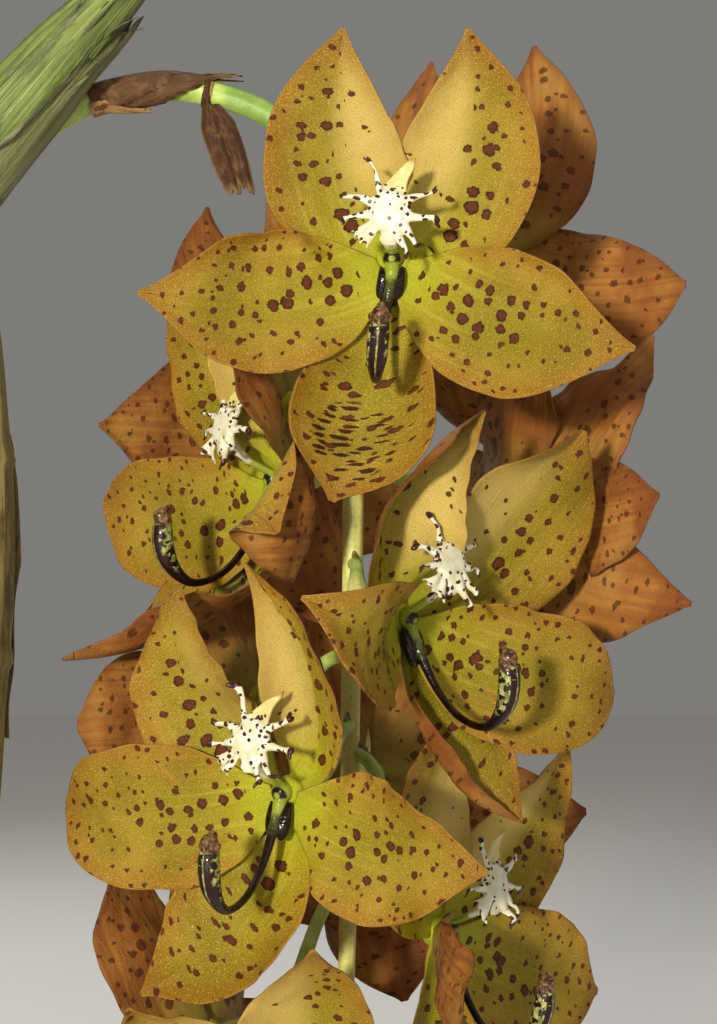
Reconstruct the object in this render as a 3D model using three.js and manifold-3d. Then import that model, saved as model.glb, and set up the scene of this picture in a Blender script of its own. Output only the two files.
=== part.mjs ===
// A swan orchid in flower, standing in a plain clay pot. Millimetres, +Z up.
// The origin is the centre of the pot's foot. The spray hangs on the +X side, with its front to -Y.
import * as THREE from "three";
import { mergeVertices } from "three/addons/utils/BufferGeometryUtils.js";
import Module from "manifold-3d";

const wasm = await Module();
wasm.setup();

// Driving dimensions
const GAP = 0.3; // clearance between two pieces that touch
const POT = {
  height: 120,
  footRadius: 46,
  neckRadius: 61,
  rimRadius: 69,
  rimHeight: 26,
  wall: 6,
  floor: 8,
  drainRadius: 5,
  drainCircle: 27,
  drains: 4,
  sides: 24,
};
const MEDIUM = { top: 102, chips: 16, chipReach: 45 };
const TEPAL = { length: 41, width: 24.5, thickness: 0.7, rootRadius: 2.2 };
const LEAF = { width: 46, thickness: 0.9, pleat: 2.2 };

const COLOURS = {
  clay: [0xb5653f, 0.85],
  bark: [0x5a3a24, 0.95],
  bulb: [0x8c9b4e, 0.6],
  oldBulb: [0x8a7440, 0.75],
  leaf: [0x3f6b2a, 0.5],
  stem: [0x9db85a, 0.5],
  dryBract: [0x4a2f1e, 0.9],
  bud: [0xa9a24a, 0.5],
  tepal: [0xc09a3a, 0.5],
  lip: [0xf2ecd6, 0.4],
  column: [0x2c1418, 0.2],
};

// Small maths helpers
const rad = THREE.MathUtils.degToRad;
const mix = THREE.MathUtils.lerp;
const vec = (x, y, z) => new THREE.Vector3(x, y, z);
const easeIn = (t) => Math.sin((Math.min(Math.max(t, 0), 1) * Math.PI) / 2);
const curveThrough = (points) =>
  new THREE.CatmullRomCurve3(points.map((p) => vec(...p)), false, "centripetal");

// Unit axis a turned towards unit axis b
function turned(a, b, angle) {
  return a.clone().multiplyScalar(Math.cos(angle)).addScaledVector(b, Math.sin(angle));
}

function seededRandom(seed) {
  let state = seed;
  return () => {
    state = (state * 1664525 + 1013904223) % 4294967296;
    return state / 4294967296;
  };
}

// Value of a list of [position, value] stops at t
function alongStops(stops, t) {
  const next = stops.findIndex(([at]) => at >= t);
  if (next <= 0) return next < 0 ? stops.at(-1)[1] : stops[0][1];
  const [[t0, v0], [t1, v1]] = [stops[next - 1], stops[next]];
  return mix(v0, v1, (t - t0) / (t1 - t0));
}

// Solids
function toSolid(geometry) {
  const bare = new THREE.BufferGeometry();
  bare.setAttribute("position", geometry.getAttribute("position").clone());
  bare.setIndex(geometry.index.clone());
  const merged = mergeVertices(bare, 1e-4);
  const solid = new wasm.Manifold(
    new wasm.Mesh({
      numProp: 3,
      vertProperties: new Float32Array(merged.attributes.position.array),
      triVerts: new Uint32Array(merged.index.array),
    }),
  );
  if (solid.volume() > 0) return solid;
  throw new Error("a solid has its faces turned in");
}

function toGeometry(solid) {
  const mesh = solid.getMesh();
  const geometry = new THREE.BufferGeometry();
  const points = new Float32Array(mesh.numVert * 3);
  for (let i = 0; i < mesh.numVert; i++)
    points.set(mesh.vertProperties.subarray(i * mesh.numProp, i * mesh.numProp + 3), i * 3);
  geometry.setAttribute("position", new THREE.BufferAttribute(points, 3));
  geometry.setIndex(new THREE.BufferAttribute(new Uint32Array(mesh.triVerts), 1));
  geometry.computeVertexNormals();
  return geometry;
}

const fuse = (solids) => solids.reduce((whole, piece) => whole.add(piece));

// A closed skin over rings of points, each ring counter-clockwise seen against the direction of travel
function loft(rings) {
  const count = rings[0].length;
  const points = rings.flat();
  const centre = (ring) =>
    ring.reduce((sum, p) => sum.add(p), vec(0, 0, 0)).divideScalar(ring.length);
  points.push(centre(rings[0]), centre(rings.at(-1)));
  const [startCap, endCap] = [points.length - 2, points.length - 1];
  const lastRing = (rings.length - 1) * count;
  const faces = [];
  for (let k = 0; k < count; k++) {
    const next = (k + 1) % count;
    for (let row = 0; row < lastRing; row += count) {
      faces.push(row + k, row + next, row + count + next);
      faces.push(row + k, row + count + next, row + count + k);
    }
    faces.push(startCap, next, k);
    faces.push(endCap, lastRing + k, lastRing + next);
  }
  const geometry = new THREE.BufferGeometry().setFromPoints(points);
  geometry.setIndex(faces);
  return toSolid(geometry);
}

// A round bar along a curve. radiusAt gives its radius from 0 at the start to 1 at the end.
function bar(curve, radiusAt, steps, sides) {
  const frames = curve.computeFrenetFrames(steps, false);
  const rings = [];
  for (let i = 0; i <= steps; i++) {
    const middle = curve.getPointAt(i / steps);
    const radius = radiusAt(i / steps);
    rings.push(
      Array.from({ length: sides }, (_, k) => {
        const turn = (k / sides) * 2 * Math.PI;
        return middle
          .clone()
          .addScaledVector(frames.normals[i], radius * Math.cos(turn))
          .addScaledVector(frames.binormals[i], radius * Math.sin(turn));
      }),
    );
  }
  return loft(rings);
}

// A thin closed sheet. surface(u, v) gives its middle, with u from 0 to 1 and v from -1 to 1.
function blade(surface, rows, columns, thickness) {
  const reach = 0.02;
  const sheet = { front: [], back: [] };
  for (let i = 0; i <= rows; i++)
    for (let j = 0; j <= columns; j++) {
      const [u, v] = [i / rows, (2 * j) / columns - 1];
      const middle = surface(u, v);
      const along = surface(Math.min(u + reach, 1), v).sub(surface(Math.max(u - reach, 0), v));
      const across = surface(u, v + reach).sub(surface(u, v - reach));
      const normal = across.cross(along).normalize();
      sheet.front.push(middle.clone().addScaledVector(normal, thickness / 2));
      sheet.back.push(middle.clone().addScaledVector(normal, -thickness / 2));
    }
  const width = columns + 1;
  const backStart = sheet.front.length;
  const faces = [];
  for (let i = 0; i < rows; i++)
    for (let j = 0; j < columns; j++) {
      const [a, d] = [i * width + j, (i + 1) * width + j];
      const [b, c] = [a + 1, d + 1];
      faces.push(a, b, c, a, c, d);
      const back = [a, c, b, a, d, c].map((p) => backStart + p);
      faces.push(...back);
    }
  const rim = [];
  for (let j = 0; j < columns; j++) rim.push(j);
  for (let i = 0; i < rows; i++) rim.push(i * width + columns);
  for (let j = columns; j > 0; j--) rim.push(rows * width + j);
  for (let i = rows; i > 0; i--) rim.push(i * width);
  rim.forEach((p, k) => {
    const q = rim[(k + 1) % rim.length];
    faces.push(p, backStart + p, backStart + q, p, backStart + q, q);
  });
  const geometry = new THREE.BufferGeometry().setFromPoints([...sheet.front, ...sheet.back]);
  geometry.setIndex(faces);
  return toSolid(geometry);
}

// A long bead with small blunt ends
function bead(centre, axis, halfLength, radius, sides) {
  const ends = [-1, 1].map((side) => centre.clone().addScaledVector(axis, side * halfLength));
  const girth = (t) => radius * (0.35 + 0.65 * Math.sin(Math.PI * t));
  return bar(new THREE.LineCurve3(...ends), girth, 2, sides);
}

const root = new THREE.Group();
function add(name, solid, [colour, roughness]) {
  const material = new THREE.MeshStandardMaterial({ color: colour, roughness, metalness: 0 });
  const mesh = new THREE.Mesh(toGeometry(solid), material);
  mesh.name = name;
  root.add(mesh);
}

// Clay pot with a plain band at the rim and drain holes round its floor
function pot() {
  const neck = POT.height - POT.rimHeight;
  const inside = POT.rimRadius - POT.wall - 1;
  const profile = [
    [0, 0],
    [POT.footRadius, 0],
    [POT.neckRadius, neck],
    [POT.rimRadius - 1, neck],
    [POT.rimRadius, neck + 2],
    [POT.rimRadius, POT.height - 2],
    [POT.rimRadius - 2, POT.height],
    [inside + 1, POT.height],
    [inside, POT.height - 2],
    [inside, neck + 6],
    [POT.neckRadius - POT.wall, neck - 4],
    [POT.footRadius - POT.wall, POT.floor],
    [0, POT.floor],
  ].map(([r, z]) => new THREE.Vector2(r, z));
  const lathe = new THREE.LatheGeometry(profile, POT.sides).rotateX(Math.PI / 2);
  let solid = toSolid(lathe);
  for (let k = 0; k < POT.drains; k++) {
    const turn = ((k + 0.5) / POT.drains) * 2 * Math.PI;
    const drill = new THREE.CylinderGeometry(POT.drainRadius, POT.drainRadius, 3 * POT.floor, 8);
    drill.rotateX(Math.PI / 2);
    drill.translate(POT.drainCircle * Math.cos(turn), POT.drainCircle * Math.sin(turn), 0);
    solid = solid.subtract(toSolid(drill));
  }
  return solid;
}

// Swollen stems. Each leans along its own curve and narrows to both ends, with a ridge at every joint.
const BULBS = [
  {
    name: "pseudobulb_flowering",
    path: [[-20, 2, 82], [-17, 0, 150], [-1, -3, 215], [28, -6, 275], [67, -8, 325], [84, -8, 343]],
    girth: [[0, 7], [0.1, 9], [0.25, 13.5], [0.45, 15.5], [0.66, 12.5], [0.8, 8.6], [0.93, 7], [1, 2.5]],
    colour: COLOURS.bulb,
    roots: [200, 262, 318],
  },
  {
    name: "pseudobulb_leafy",
    path: [[0, 29, 82], [-3, 34, 150], [-7, 38, 230], [-12, 40, 335]],
    girth: [[0, 7], [0.1, 9], [0.3, 14], [0.5, 15], [0.75, 11], [0.93, 7.5], [1, 4]],
    colour: COLOURS.bulb,
    roots: [70, 128],
  },
  {
    name: "pseudobulb_old_tall",
    path: [[28, 13, 82], [36, 15, 150], [43, 17, 225], [48, 19, 296]],
    girth: [[0, 6.5], [0.12, 8], [0.3, 12], [0.55, 13], [0.8, 10.5], [0.95, 6], [1, 2.5]],
    colour: COLOURS.oldBulb,
    roots: [100, 300],
  },
  {
    name: "pseudobulb_old_short",
    path: [[-32, -25, 82], [-37, -30, 140], [-44, -36, 190], [-50, -42, 228]],
    girth: [[0, 6.5], [0.12, 8], [0.35, 12], [0.6, 12.5], [0.85, 8], [0.96, 4.5], [1, 2.5]],
    colour: COLOURS.oldBulb,
    roots: [150, 310],
  },
];
const BULB = { steps: 12, sides: 8, joints: 6, ridge: 0.7 };
const ROOT = { radius: 1.9, rise: 5, length: 22 };

const bulbCurve = (bulb) => curveThrough(bulb.path);

function bulbRadius(bulb, t) {
  const near = [t - 0.03, t, t + 0.03].map((at) => alongStops(bulb.girth, at));
  const smooth = (near[0] + near[1] + near[2]) / 3;
  const nearJoint = Math.abs(t * BULB.joints - Math.round(t * BULB.joints));
  return smooth + (nearJoint < 0.12 ? BULB.ridge : 0);
}

// grow fattens the whole solid evenly, for cutting its seat in the bark
function bulbSolid(bulb, grow = 0) {
  const curve = bulbCurve(bulb);
  const body = bar(curve, (t) => bulbRadius(bulb, t) + grow, BULB.steps, BULB.sides);
  const foot = curve.getPointAt(0.12);
  const roots = bulb.roots.map((heading) => {
    const out = vec(Math.cos(rad(heading)), Math.sin(rad(heading)), 0);
    const along = new THREE.CatmullRomCurve3([
      foot.clone(),
      foot.clone().addScaledVector(out, ROOT.length * 0.55).setZ(MEDIUM.top + ROOT.rise),
      foot.clone().addScaledVector(out, ROOT.length).setZ(MEDIUM.top - 10),
    ]);
    return bar(along, () => ROOT.radius + grow, 4, 5);
  });
  return fuse([body, ...roots]);
}

// Bark chips that fill the pot, with seats for the stems and roots that stand in them
function medium() {
  const neck = POT.height - POT.rimHeight;
  const inside = POT.rimRadius - POT.wall - 1;
  const profile = [
    [0, POT.floor + GAP],
    [POT.footRadius - POT.wall - 2 * GAP, POT.floor + GAP],
    [POT.neckRadius - POT.wall - 3 * GAP, neck - 4],
    [inside - 3 * GAP, MEDIUM.top],
    [0, MEDIUM.top],
  ].map(([r, z]) => new THREE.Vector2(r, z));
  const fill = toSolid(new THREE.LatheGeometry(profile, POT.sides).rotateX(Math.PI / 2));
  const random = seededRandom(7);
  const goldenTurn = Math.PI * (3 - Math.sqrt(5));
  const chips = Array.from({ length: MEDIUM.chips }, (_, k) => {
    const [long, wide, thick] = [mix(11, 17, random()), mix(7, 11, random()), mix(6, 9, random())];
    const chip = new THREE.BoxGeometry(long, wide, thick);
    chip.rotateX(mix(-0.5, 0.5, random()));
    chip.rotateY(mix(-0.5, 0.5, random()));
    chip.rotateZ(random() * Math.PI);
    const radius = MEDIUM.chipReach * Math.sqrt((k + 0.5) / MEDIUM.chips);
    chip.translate(
      radius * Math.cos(k * goldenTurn),
      radius * Math.sin(k * goldenTurn),
      MEDIUM.top + mix(-1, 1.5, random()),
    );
    return toSolid(chip);
  });
  const seats = BULBS.map((bulb) => bulbSolid(bulb, 1.5 * GAP));
  return fuse([fill, ...chips]).subtract(fuse(seats));
}

// Long pleated leaves. Each clasps its stem at a joint, rises, and arches over.
const LEAVES = [
  { name: "leaf_1", bulb: 1, at: 0.74, heading: 205, rise: 58, fall: -38, length: 240 },
  { name: "leaf_2", bulb: 1, at: 0.8, heading: 15, rise: 76, fall: -18, length: 265 },
  { name: "leaf_3", bulb: 1, at: 0.86, heading: 228, rise: 70, fall: -5, length: 270 },
  { name: "leaf_4", bulb: 1, at: 0.91, heading: 40, rise: 78, fall: 12, length: 255 },
  { name: "leaf_5", bulb: 1, at: 0.955, heading: 165, rise: 70, fall: 10, length: 245 },
  { name: "leaf_6", bulb: 1, at: 0.99, heading: 80, rise: 84, fall: 40, length: 215 },
  { name: "leaf_7", bulb: 0, at: 0.72, heading: 195, rise: 84, fall: 8, length: 235 },
];

const leafWidth = (u) => 0.16 + 0.84 * Math.sin(Math.PI * Math.pow(u, 0.85)) ** 0.9;

function leafSurface(leaf) {
  const curve = bulbCurve(BULBS[leaf.bulb]);
  const out = vec(Math.cos(rad(leaf.heading)), Math.sin(rad(leaf.heading)), 0);
  const side = vec(-out.y, out.x, 0);
  const start = curve
    .getPointAt(leaf.at)
    .addScaledVector(out, bulbRadius(BULBS[leaf.bulb], leaf.at) - 1.5);
  const steps = 60;
  const line = [start];
  const slopes = [];
  for (let i = 0; i <= steps; i++) {
    const slope = rad(mix(leaf.rise, leaf.fall, Math.pow(i / steps, 1.4)));
    slopes.push(slope);
    line.push(
      line
        .at(-1)
        .clone()
        .addScaledVector(out, (Math.cos(slope) * leaf.length) / steps)
        .add(vec(0, 0, (Math.sin(slope) * leaf.length) / steps)),
    );
  }
  return (u, v) => {
    const at = Math.min(u * steps, steps - 1e-6);
    const i = Math.floor(at);
    const middle = line[i].clone().lerp(line[i + 1], at - i);
    const slope = slopes[i];
    const up = vec(0, 0, Math.cos(slope)).addScaledVector(out, -Math.sin(slope));
    const taper = u > 0.97 ? 0.1 : Math.min(1, (1 - u) * 4);
    const half = Math.max((LEAF.width / 2) * leafWidth(u) * (u > 0.5 ? taper ** 0.3 : 1), 0.8);
    const zigzag = Math.abs((((v + 1) * 3) % 2) - 1) - 0.5;
    const pleat = zigzag * LEAF.pleat * Math.min(u * 5, 1) * (half / (LEAF.width / 2));
    const clasp = (1 - Math.min(u * 7, 1)) * 2.2;
    const keel = 0.22 * half * v * v;
    return middle.addScaledVector(side, half * v).addScaledVector(up, pleat + keel - clasp * v * v);
  };
}

// The flowering stem: an arch out from the pseudobulb, then a hanging spray
const STEM_PATH = [
  [64, -1, 317], [72, 0, 321.5], [84, 0, 323.5], [95, 0, 322], [105, 0, 317], [113, 0, 305],
  [117, 0, 285], [117, 0, 250], [116.5, 1, 210], [116, 2, 175], [115, 3, 150], [113, 5, 130],
];
const STEM = { baseRadius: 2.3, tipRadius: 1.3, steps: 20, sides: 6 };
const PEDICEL = { rachisRadius: 1.2, ovaryRadius: 1.7, drop: 9 };
const stemCurve = curveThrough(STEM_PATH);

// Where the stem is at a given height on its hanging side
function stemAt(height) {
  let [low, high] = [0.35, 1];
  for (let i = 0; i < 30; i++) {
    const middle = (low + high) / 2;
    if (stemCurve.getPointAt(middle).z > height) low = middle;
    else high = middle;
  }
  return stemCurve.getPointAt(low);
}

// The five tepals. turn is the way the midrib heads in the plane of the bloom, clockwise from the lip,
// at its root and at its tip. lean is how far it tips forward there. cup bends its edges forward.
const TEPALS = {
  upperLeft: { turn: [-50, 10], lean: [10, 12], cup: 0.3, depth: -0.3 },
  upperRight: { turn: [60, -10], lean: [10, 12], cup: 0.3, depth: -1.3 },
  left: { turn: [-122, -84], lean: [14, 2], cup: 0.2, depth: 0.7 },
  right: { turn: [130, 98], lean: [14, 2], cup: 0.2, depth: 0.7 },
  lower: { turn: [184, 194], lean: [6, -20], cup: 0.5, depth: -0.7 },
};

// at is the middle of the bloom, facing is the way it looks: 0 is the front and 90 the +X side.
const BLOOMS = [
  { at: [123.6, -28, 290.8], facing: -3, nod: 0, lower: { turn: [188, 200] } },
  {
    at: [137, 22, 297],
    facing: 150,
    nod: 4,
    rows: 4,
    right: { lean: [20, 50] },
    lower: { turn: [180, 176], lean: [8, 56] },
  },
  {
    at: [105, 27, 269],
    facing: -140,
    nod: 4,
    rows: 4,
    upperLeft: { turn: [-44, 20] },
    left: { turn: [-134, -112] },
    right: { turn: [112, 84] },
  },
  {
    at: [105, -6, 255],
    facing: -58,
    nod: 4,
    upperLeft: { turn: [-50, -5], lean: [10, 24] },
    upperRight: { turn: [40, -30], lean: [4, 4] },
    left: { turn: [-120, -90], lean: [16, 24] },
    right: { turn: [110, 78], lean: [34, 20], curl: 110 },
    lower: { turn: [184, 215], lean: [0, 80] },
  },
  {
    at: [144, 14, 249],
    facing: 122,
    nod: 4,
    rows: 4,
    upperLeft: { turn: [-92, -82] },
    upperRight: { turn: [10, -20], lean: [4, -10] },
    left: { turn: [-136, -118] },
    right: { turn: [100, 70] },
  },
  {
    at: [124.8, -25, 232],
    facing: 46,
    nod: 4,
    upperLeft: { turn: [-50, 50] },
    upperRight: { turn: [78, 12], lean: [12, 36] },
    left: { turn: [-97, -50], lean: [14, 24] },
    right: { turn: [122, 100], lean: [18, 44] },
    lower: { turn: [176, 160], lean: [8, 34] },
  },
  {
    at: [99, 19, 216],
    facing: -128,
    nod: 6,
    rows: 4,
    upperRight: { turn: [34, -34], lean: [14, 36] },
    left: { turn: [-140, -134], lean: [14, 30] },
    right: { turn: [106, 84], curl: -50 },
  },
  {
    at: [106.5, -30, 204],
    facing: -30,
    nod: 6,
    upperLeft: { turn: [-62, 6] },
    upperRight: { turn: [42, -40], lean: [6, 8], wide: 0.66, cup: 0.8 },
    left: { turn: [-108, -86], lean: [12, 14], curl: 50 },
    right: { turn: [118, 96], lean: [14, -4] },
    lower: { turn: [196, 232], lean: [8, 6] },
  },
  {
    at: [132, -4, 178],
    facing: 50,
    nod: 4,
    upperRight: { turn: [70, 20] },
    left: { turn: [-124, -140], lean: [22, 40] },
  },
  {
    at: [120, 45, 200],
    facing: 176,
    nod: 6,
    rows: 4,
    right: { turn: [112, 78], lean: [14, 40] },
  },
  { at: [91, 11, 157], facing: -122, nod: 6, rows: 4 },
  {
    at: [104, -12, 147],
    facing: 0,
    nod: 12,
    upperLeft: { lean: [8, 42] },
    upperRight: { turn: [36, -20], lean: [8, 42] },
    left: { turn: [-112, -76], lean: [14, 40] },
    right: { turn: [140, 122] },
  },
].map((bloom, k) => ({ ...bloom, name: `bloom_${String(k + 1).padStart(2, "0")}` }));

// Axes of a bloom: out of its face, to its lip, and to its right as it is looked in the face
function bloomFrame(bloom) {
  const [turn, nod] = [rad(bloom.facing), rad(-bloom.nod)];
  const out = vec(Math.sin(turn) * Math.cos(nod), -Math.cos(turn) * Math.cos(nod), Math.sin(nod));
  const right = vec(Math.cos(turn), Math.sin(turn), 0);
  const up = right.clone().cross(out).negate();
  const roll = rad(bloom.roll ?? 0);
  const lip = turned(up, right, roll);
  const side = turned(right, up, -roll);
  const middle = vec(...bloom.at);
  const place = (across, along, forward) =>
    middle.clone().addScaledVector(side, across).addScaledVector(lip, along).addScaledVector(out, forward);
  return { out, lip, side, middle, place };
}

// Share of the full width at u: a narrow root, a broad middle, and a pointed end
function tepalWidth(u) {
  const widest = 0.42;
  if (u < widest) return 0.14 + 0.86 * easeIn(u / widest);
  return Math.max(1 - Math.pow((u - widest) / (1 - widest), 1.7), 0.03);
}

function tepalSurface(frame, tepal) {
  const steps = 40;
  const length = TEPAL.length * (tepal.long ?? 1);
  const width = TEPAL.width * (tepal.wide ?? 1);
  const stations = [];
  let place;
  for (let i = 0; i <= steps; i++) {
    const u = i / steps;
    const turn = rad(mix(tepal.turn[1], tepal.turn[0], (1 - u) ** 1.8));
    const curl = (tepal.curl ?? 0) * Math.max(0, (u - 0.55) / 0.45) ** 1.5;
    const lean = rad(mix(...tepal.lean, u) - curl);
    const outward = turned(frame.lip, frame.side, turn);
    const sideways = turned(frame.side, frame.lip, -turn);
    const onward = turned(outward, frame.out, lean);
    const raised = turned(frame.out, outward, -lean);
    place ??= frame.place(0, 0, tepal.depth).addScaledVector(outward, TEPAL.rootRadius);
    stations.push({ place: place.clone(), sideways, raised });
    place.addScaledVector(onward, length / steps);
  }
  return (u, v) => {
    const at = Math.min(u * steps, steps - 1e-6);
    const [here, next] = [stations[Math.floor(at)], stations[Math.floor(at) + 1]];
    const part = at - Math.floor(at);
    const half = (width / 2) * tepalWidth(u);
    const across = (half * Math.sin(tepal.cup * v)) / tepal.cup;
    const lift = (half * (1 - Math.cos(tepal.cup * v))) / tepal.cup;
    return here.place
      .clone()
      .lerp(next.place, part)
      .addScaledVector(here.sideways.clone().lerp(next.sideways, part), across)
      .addScaledVector(here.raised.clone().lerp(next.raised, part), lift);
  };
}

const HUB = { radius: 3, back: -2.4, front: 1.3, sides: 6 };

function tepalsSolid(bloom) {
  const frame = bloomFrame(bloom);
  const blades = Object.entries(TEPALS).map(([name, shape]) =>
    blade(tepalSurface(frame, { ...shape, ...bloom[name] }), bloom.rows ?? 5, 2, TEPAL.thickness),
  );
  const axis = new THREE.LineCurve3(frame.place(0, 0, HUB.back), frame.place(0, 0, HUB.front));
  return fuse([bar(axis, () => HUB.radius, 1, HUB.sides), ...blades]);
}

// The lip: a domed plate with fingers all round and a pointed end, on a short claw.
// Each finger is [turn, reach, half its width at the root in degrees], clockwise from the point.
const LIP = { along: 9.8, forward: 11, radius: 4.6, thickness: 1, dome: 1.6, tilt: 14 };
const FINGERS = [
  [12, 10.4, 13], [55, 8.2, 9], [93, 7.8, 9], [130, 8, 9], [164, 7.4, 9],
  [-156, 7, 9], [-116, 7.8, 9], [-72, 8, 9], [-30, 8.6, 9],
];

function lipSolid(bloom) {
  const frame = bloomFrame(bloom);
  const centre = frame.place(0, LIP.along, LIP.forward);
  const tilt = rad(LIP.tilt);
  const face = turned(frame.out, frame.lip, tilt);
  const rise = turned(frame.lip, frame.out, -tilt);
  const spot = (turn, radius, lift) =>
    centre
      .clone()
      .addScaledVector(turned(rise, frame.side, rad(turn)), radius)
      .addScaledVector(face, lift);
  const outline = FINGERS.flatMap(([turn, reach, half]) => [
    [turn - half, LIP.radius],
    [turn, reach],
    [turn + half, LIP.radius],
  ]);
  const ring = (lift) => outline.map(([turn, radius]) => spot(turn, radius, lift));
  const points = [...ring(0), ...ring(-LIP.thickness), spot(0, 0, LIP.dome), spot(0, 0, -LIP.thickness)];
  const count = outline.length;
  const faces = [];
  for (let k = 0; k < count; k++) {
    const next = (k + 1) % count;
    faces.push(2 * count, next, k, 2 * count + 1, count + k, count + next);
    faces.push(k, next, count + next, k, count + next, count + k);
  }
  const plate = new THREE.BufferGeometry().setFromPoints(points);
  plate.setIndex(faces);
  const claw = new THREE.CatmullRomCurve3([
    frame.place(0, 1.9, HUB.front + GAP),
    frame.place(0, 2.6, 5.5),
    spot(180, 1.5, -0.5),
  ]);
  return fuse([toSolid(plate), bar(claw, (t) => mix(0.8, 1.7, t), 2, 5)]);
}

// The column: two glossy lobes at its root, then a thin swan's neck that swells to a beaked end.
// The path is in the bloom's own plane of symmetry, as [towards the lip, forward].
const COLUMN_PATH = [
  [-0.6, 1.3], [-5, 3], [-11, 6.5], [-15.4, 11.5], [-16.4, 17], [-13, 21], [-7.5, 22], [-3.6, 20.8],
];
const COLUMN_GIRTH = [
  [0, 1.2], [0.12, 1], [0.3, 0.8], [0.6, 0.85], [0.72, 1.5], [0.84, 1.9], [0.94, 1.7], [1, 0.9],
];
const LOBE = { across: 1.5, along: -2.2, forward: 2.1, halfLength: 3.6, radius: 1.4 };

function columnSolid(bloom) {
  const frame = bloomFrame(bloom);
  const neck = new THREE.CatmullRomCurve3(
    COLUMN_PATH.map(([along, forward]) => frame.place(0, along, HUB.front + forward)),
  );
  const lobes = [-1, 1].map((side) => {
    const middle = frame.place(side * LOBE.across, LOBE.along, HUB.front + LOBE.forward);
    return bead(middle, frame.lip, LOBE.halfLength, LOBE.radius, 4);
  });
  return fuse([bar(neck, (t) => alongStops(COLUMN_GIRTH, t), 8, 5), ...lobes]);
}

// A flower stalk from the hanging stem to the back of a bloom or bud
function stalk(end, out) {
  const start = stemAt(end.z + PEDICEL.drop);
  const away = vec(end.x - start.x, end.y - start.y, 0).normalize();
  const curve = new THREE.CubicBezierCurve3(
    start,
    start.clone().addScaledVector(away, 10).add(vec(0, 0, -1)),
    end.clone().addScaledVector(out, -12).add(vec(0, 0, 1.5)),
    end,
  );
  const { rachisRadius, ovaryRadius } = PEDICEL;
  return bar(curve, (t) => mix(rachisRadius, ovaryRadius, Math.min(t * 2, 1)), 5, 5);
}

const BUDS = [
  { name: "bud_1", at: [121, 14, 127], facing: 140, length: 18 },
  { name: "bud_2", at: [109, 14, 117], facing: -165, length: 16 },
];

function budFrame(bud) {
  const turn = rad(bud.facing);
  return { end: vec(...bud.at), out: vec(Math.sin(turn), -Math.cos(turn), -0.45).normalize() };
}

function budSolid(bud) {
  const { end, out } = budFrame(bud);
  const tip = end.clone().addScaledVector(out, bud.length);
  const line = new THREE.LineCurve3(end.clone().addScaledVector(out, 2 * GAP), tip);
  const girth = [[0, 2], [0.2, 4.4], [0.5, 5.6], [0.8, 3.8], [1, 0.6]];
  return bar(line, (t) => alongStops(girth, t), 5, 8);
}

function stemSolid() {
  const main = bar(stemCurve, (t) => mix(STEM.baseRadius, STEM.tipRadius, t), STEM.steps, STEM.sides);
  const bloomStalks = BLOOMS.map((bloom) => {
    const frame = bloomFrame(bloom);
    return stalk(frame.place(0, 0, HUB.back - GAP), frame.out);
  });
  const budStalks = BUDS.map((bud) => {
    const { end, out } = budFrame(bud);
    return stalk(end.addScaledVector(out, GAP), out);
  });
  const clear = bulbSolid(BULBS[0], GAP);
  return fuse([main, ...bloomStalks, ...budStalks]).subtract(clear);
}

// Dry bracts at the joints of the arch. Each hugs the stem from its place "from", for "hug" of the stem's
// length, then runs on straight for "free" millimetres at its tilt. top is the side that it covers.
const DRY_BRACTS = [
  { name: "dry_bract_1", from: 0.055, hug: 0.01, free: 7, tilt: -38, top: -90, wrap: 130 },
  { name: "dry_bract_2", from: 0.04, hug: 0.062, free: 3, tilt: 12, top: 90, wrap: 170 },
  { name: "dry_bract_3", from: 0.118, hug: 0.012, free: 15, tilt: -64, top: -90, wrap: 150 },
];

function dryBract(bract) {
  const radius = STEM.baseRadius + 2 * GAP + 0.35;
  const side = vec(0, -1, 0);
  const hugLength = bract.hug * stemCurve.getLength();
  const whole = hugLength + bract.free;
  const surface = (u, v) => {
    const done = u * whole;
    const at = bract.from + Math.min(done / hugLength, 1) * bract.hug;
    const along = stemCurve.getTangentAt(at);
    const up = along.clone().cross(side).negate();
    const turn = rad(bract.top + (v * bract.wrap * (1 - 0.4 * u)) / 2);
    const lean = rad(bract.tilt);
    const onward = turned(along, up, lean);
    return stemCurve
      .getPointAt(at)
      .addScaledVector(up, radius * (1 + 0.2 * u) * Math.sin(turn))
      .addScaledVector(side, radius * (1 + 0.2 * u) * Math.cos(turn))
      .addScaledVector(onward, Math.max(done - hugLength, 0));
  };
  return blade(surface, 5, 3, 0.6);
}

add("pot", pot(), COLOURS.clay);
add("bark_medium", medium(), COLOURS.bark);
for (const bulb of BULBS) add(bulb.name, bulbSolid(bulb), bulb.colour);
for (const leaf of LEAVES) {
  const clear = bulbSolid(BULBS[leaf.bulb], GAP);
  add(leaf.name, blade(leafSurface(leaf), 7, 6, LEAF.thickness).subtract(clear), COLOURS.leaf);
}
add("flower_stem", stemSolid(), COLOURS.stem);
for (const bract of DRY_BRACTS) add(bract.name, dryBract(bract), COLOURS.dryBract);
for (const bud of BUDS) add(bud.name, budSolid(bud), COLOURS.bud);
for (const bloom of BLOOMS) {
  add(`${bloom.name}_tepals`, tepalsSolid(bloom), COLOURS.tepal);
  add(`${bloom.name}_lip`, lipSolid(bloom), COLOURS.lip);
  add(`${bloom.name}_column`, columnSolid(bloom), COLOURS.column);
}

export default root;
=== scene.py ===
# %% [markdown]
# # A swan orchid in its pot
# The plant has a clay pot, bark, swollen stems, pleated leaves and one hanging spray of flowers.
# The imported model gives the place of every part, so this script loads it first and never moves it.
# Each plain solid is then replaced by a finer piece of the same form, with its real surface.

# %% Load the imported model
import math

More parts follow.
